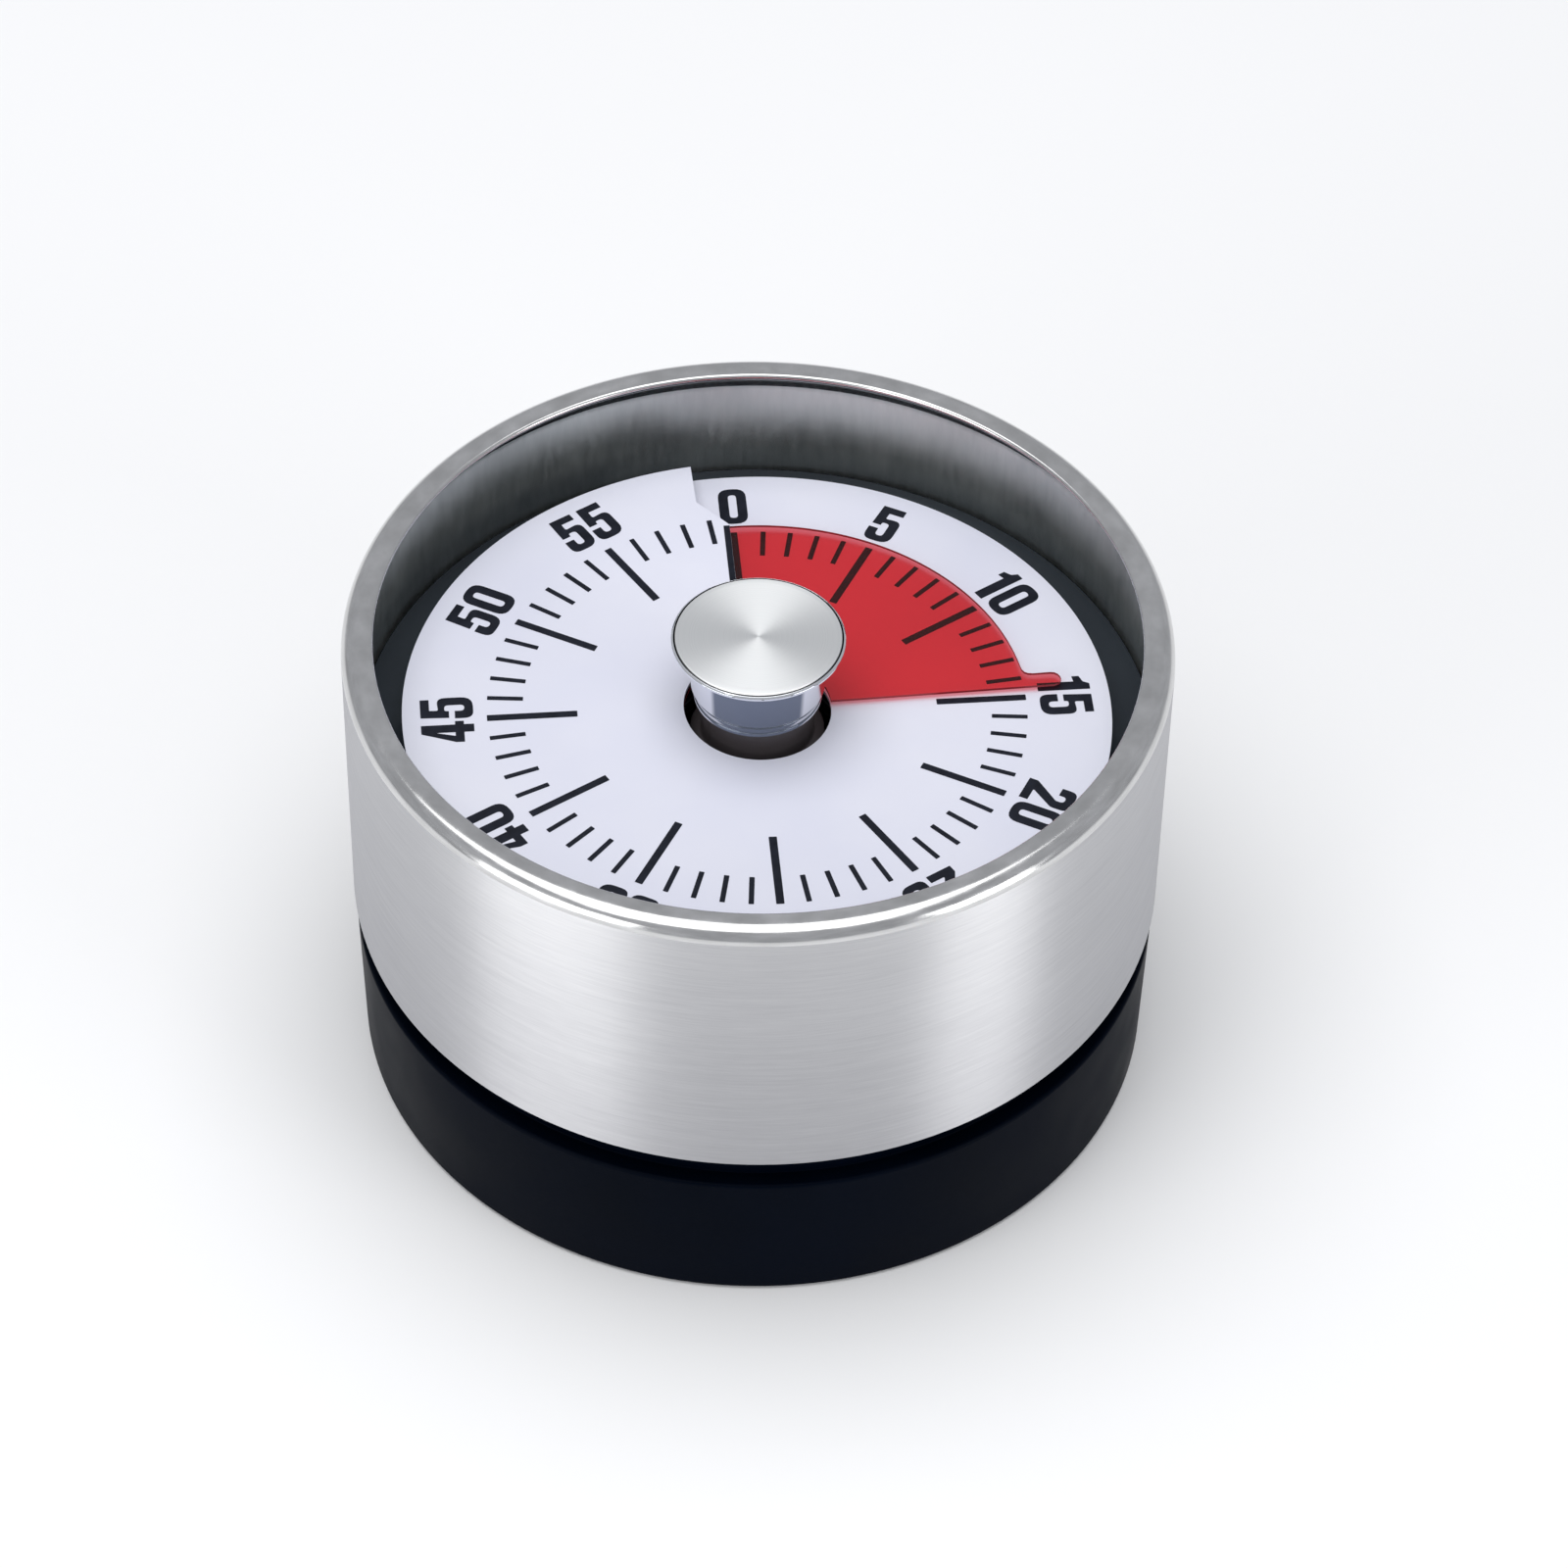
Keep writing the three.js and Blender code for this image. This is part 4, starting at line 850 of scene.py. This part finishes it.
def make_print():
    print_shape = Shape()

    def put(loops, degrees, centre_r):
        made = prism(loops, lay_on_dial(degrees, centre_r))
        print_shape.add(made.corners, made.faces)

    tick_out, short_in, long_in = 25.6, 22.2, 17.06
    number_r = 29.35
    for minute in range(1, 60):
        long = minute % 5 == 0
        half = 0.38 if long else 0.25
        inner = long_in if long else short_in
        put([box_loop(-half, half, inner, tick_out)], 6 * minute, 0)
    # The 0 mark reaches left to the slit: its left part is painted shadow cast by the raised flap's edge.
    zero_left, zero_right = -0.66, 0.12
    put([box_loop(zero_left, zero_right, long_in, tick_out)], 0, 0)
    # A dark strip on the edge of the raised flap: partly the other part of the 0 mark, partly painted shadow
    # along the slit's edge, which runs on inwards past the tick.
    flap_edge, mark_width = -SLIT_X - 0.01, 0.6
    mark_in, mark_out = 12.0, 24.6
    flap_mark_and_slit_shadow = [
        (flap_edge - mark_width, mark_in), (flap_edge, mark_in),
        (flap_edge, mark_out), (flap_edge - mark_width, mark_out),
    ]
    put([[Vector(corner) for corner in flap_mark_and_slit_shadow]], 360, 0)
    for minute in range(0, 60, 5):
        for loops in number_loops(str(minute)):
            put(loops, 6 * minute, number_r)
    piece("dial_print", print_shape, [INK], [])


# ---------------------------------------------------------------- film, hub and knob
def make_film():
    """One turn of red film, with the pointer tab on its leading edge."""
    tab = [
        (2.9, 25.7), (2.35, 25.74), (2.0, 25.9), (1.78, 26.2), (1.7, 26.7), (1.7, 28.35), (1.62, 28.7),
        (1.4, 28.98), (1.05, 29.15), (0.7, 29.19), (0.38, 29.1), (0.14, 28.85), (0.03, 28.45),
    ]
    columns = []
    steps = 350
    span_degrees = 359
    first, last = REST_ANGLE - span_degrees, REST_ANGLE - side_angle(tab[0][0], FILM_R)
    rims = [(first + (last - first) * i / steps, FILM_R) for i in range(steps)]
    rims += [(REST_ANGLE - side_angle(offset, r), r) for offset, r in tab]
    rims.append((REST_ANGLE, tab[-1][1]))
    for degrees, rim in rims:
        radii = [DIAL_HOLE_R, 10, 14, 18, 22, FILM_R - 0.1, rim]
        columns.append(([degrees] * len(radii), radii))

    def middle(angle):
        return DIAL_Z + PITCH * angle / 360 + (PITCH - DIAL_THICK) / 2 - dip(angle, FILM_DIP)

    half_thick = FILM_THICK / 2
    shape = sheet_between(columns, lambda d: middle(d) + half_thick, lambda d: middle(d) - half_thick)
    under_side = len(shape.corners) // 2
    on_face, on_edge = 0, 1
    shape.zones = [on_edge if min(f) < under_side <= max(f) else on_face for f in shape.faces]
    piece("film_disc", shape, [FILM, FILM_EDGE], ["red_disc"], "film")


def make_hub():
    top = KNOB_LOW - GAP
    wide_r, narrow_r = 6.4, 5.4
    outline = rounded([
        (BORE_R, FLOOR_LOW), (wide_r, FLOOR_LOW, 0.15), (wide_r, 37, 0.2), (narrow_r, 37.4, 0.3),
        (narrow_r, top, 0.15), (BORE_R, top),
    ])
    piece("film_hub", turned(outline, DISC_SIDES), [HUB], ["disc_hub"], "knob")


def make_knob():
    """The grip: a thin bright head on a nearly straight mirror neck with a painted reflection, with rings
    round its foot.
    """
    foot, neck = KNOB_FOOT_R, KNOB_NECK_R
    low, seat = KNOB_LOW, CAP_BOTTOM - GAP
    bore_top = KNOB_TOP - 3
    rim_low, rim_high = KNOB_TOP - 0.5, KNOB_TOP - 0.22
    outline = [
        Vector((0, bore_top)),
        Vector((BORE_R, bore_top)),
        Vector((BORE_R, low)),
        *rounded([
            (foot - 0.2, low), (foot, low + 0.08, 0.06), (foot, low + 0.4, 0.1),
            (foot - 0.12, low + 0.46, 0.05), (foot - 0.12, low + 0.58, 0.05), (foot, low + 0.64, 0.06),
            (foot + 0.05, low + 1.1, 0.1), (foot - 0.05, low + 1.2, 0.05), (foot - 0.05, low + 1.3, 0.05),
            (neck - 0.05, low + 1.5, 0.15), (neck, low + 5.5, 0.4), (neck + 0.5, low + 6.2, 0.3),
            (KNOB_R, rim_low, 0.2), (KNOB_R, rim_high, 0.1), (CAP_SEAT_R, KNOB_TOP - 0.05, 0.03),
            (CAP_SEAT_R, seat),
        ], 5)[1:-1],
        Vector((CAP_SEAT_R, seat)),
        Vector((0, seat)),
    ]

    finishes = [NECK, CHROME, BLACK]
    on_neck, on_head, in_seat = range(len(finishes))

    def zone(r, z):
        if r < CAP_SEAT_R + 0.01 and z > seat - 0.01:
            return in_seat
        return on_head if z > rim_low - 0.2 else on_neck

    grip = turned(outline, KNOB_SIDES, zone_of=zone)
    piece("knob_grip", grip, finishes, ["knob_body"], "knob", sharp_degrees=40)


def make_knob_face():
    r = outer_radius("knob_cap")
    outline = rounded([(0, CAP_BOTTOM), (r, CAP_BOTTOM), (r, KNOB_TOP, 0.1), (0, KNOB_TOP)])
    parts = 12
    rings = [Vector((r * k / parts, KNOB_TOP)) for k in range(parts - 1, 0, -1)]
    outline = outline[:-1] + rings + outline[-1:]
    piece("knob_face", turned(outline, KNOB_SIDES), [SPUN], ["knob_cap"], "knob")


# ---------------------------------------------------------------- movement: CAD pieces with their finishes
MOVEMENT = {
    "zinc_steel": ZINC,
    "spring_steel": SPRING,
    "brass": BRASS,
    "nickel": NICKEL,
}


def finish_movement():
    for entry in frame["record"]["subparts"]:
        finish = MOVEMENT.get(entry["material_slot"])
        if finish:
            mesh = frame["nodes"][entry["node"]].data
            mesh.materials.clear()
            mesh.materials.append(finish)


# ---------------------------------------------------------------- studio
def make_ground():
    g = Graph("studio_floor", Roughness=0.85, Specular_IOR_Level=0.1)
    soft = g.noise(g.place(), scale=4, detail=2)
    g.colour(g.between(soft, 0, 1), grey(0.92), grey(0.94))
    floor_r, top, bottom = 3000, -0.05, -5
    outline = [(0, top), (floor_r, top), (floor_r, bottom), (0, bottom)]
    mesh = mesh_of("studio_floor", turned(outline, SMALL_SIDES))
    mesh.materials.append(g.material)
    outward(mesh)
    placed("studio_floor", mesh)


TIMER_MIDDLE = Vector((0, 0, 25))


def panel(name, azimuth, elevation, distance, width, height, radiance):
    """A soft light panel that faces the timer. Azimuth 0 is on the -Y side and 90 on the +X side."""
    a, e = math.radians(azimuth), math.radians(elevation)
    away = Vector((math.sin(a) * math.cos(e), -math.cos(a) * math.cos(e), math.sin(e)))
    data = bpy.data.lights.new(name, "AREA")
    data.shape = "RECTANGLE"
    data.size, data.size_y = width * MM, height * MM
    data.energy = radiance * math.pi * data.size * data.size_y
    lamp = placed(name, data)
    lamp.location = (away * distance + TIMER_MIDDLE) * MM
    lamp.rotation_euler = (-away).to_track_quat("-Z", "Y").to_euler()


def make_lights():
    panel("top_panel", -90, 85, 900, 900, 900, 2.1)
    panel("left_panel", -53, 14, 700, 480, 360, 2.8)
    panel("right_panel", 50, 14, 700, 300, 360, 3.3)
    world = bpy.data.worlds.new("studio")
    world.use_nodes = True
    sky = world.node_tree.nodes["Background"]
    sky.inputs["Color"].default_value = (0.93, 0.95, 1.0, 1)
    sky.inputs["Strength"].default_value = 0.5
    bpy.context.scene.world = world
    bpy.context.scene.view_settings.view_transform = "Standard"


def make_camera():
    """The photographer's place: 45.5 degrees above the table, a little to the left of straight ahead."""
    place = Vector((-34.9, -374.0, 411.7))
    right = Vector((0.99623, -0.08554, 0.01421)).normalized()
    back = Vector((-0.07005, -0.69732, 0.71333)).normalized()
    up = back.cross(right).normalized()
    data = bpy.data.cameras.new("camera")
    data.sensor_width = 36
    data.lens = 128.2
    data.clip_start, data.clip_end = 0.01, 20
    camera = placed("camera", data)
    axes = Matrix((up.cross(back).normalized(), up, back)).transposed()
    camera.matrix_world = Matrix.Translation(place * MM) @ axes.to_4x4()
    bpy.context.scene.camera = camera


# ---------------------------------------------------------------- build
make_shell()
make_base()
make_cover()
make_foot()
make_magnets()
make_cover_screws()
make_floor()
make_dial()
make_print()
make_film()
make_hub()
make_knob()
make_knob_face()
finish_movement()
make_ground()
make_lights()
make_camera()
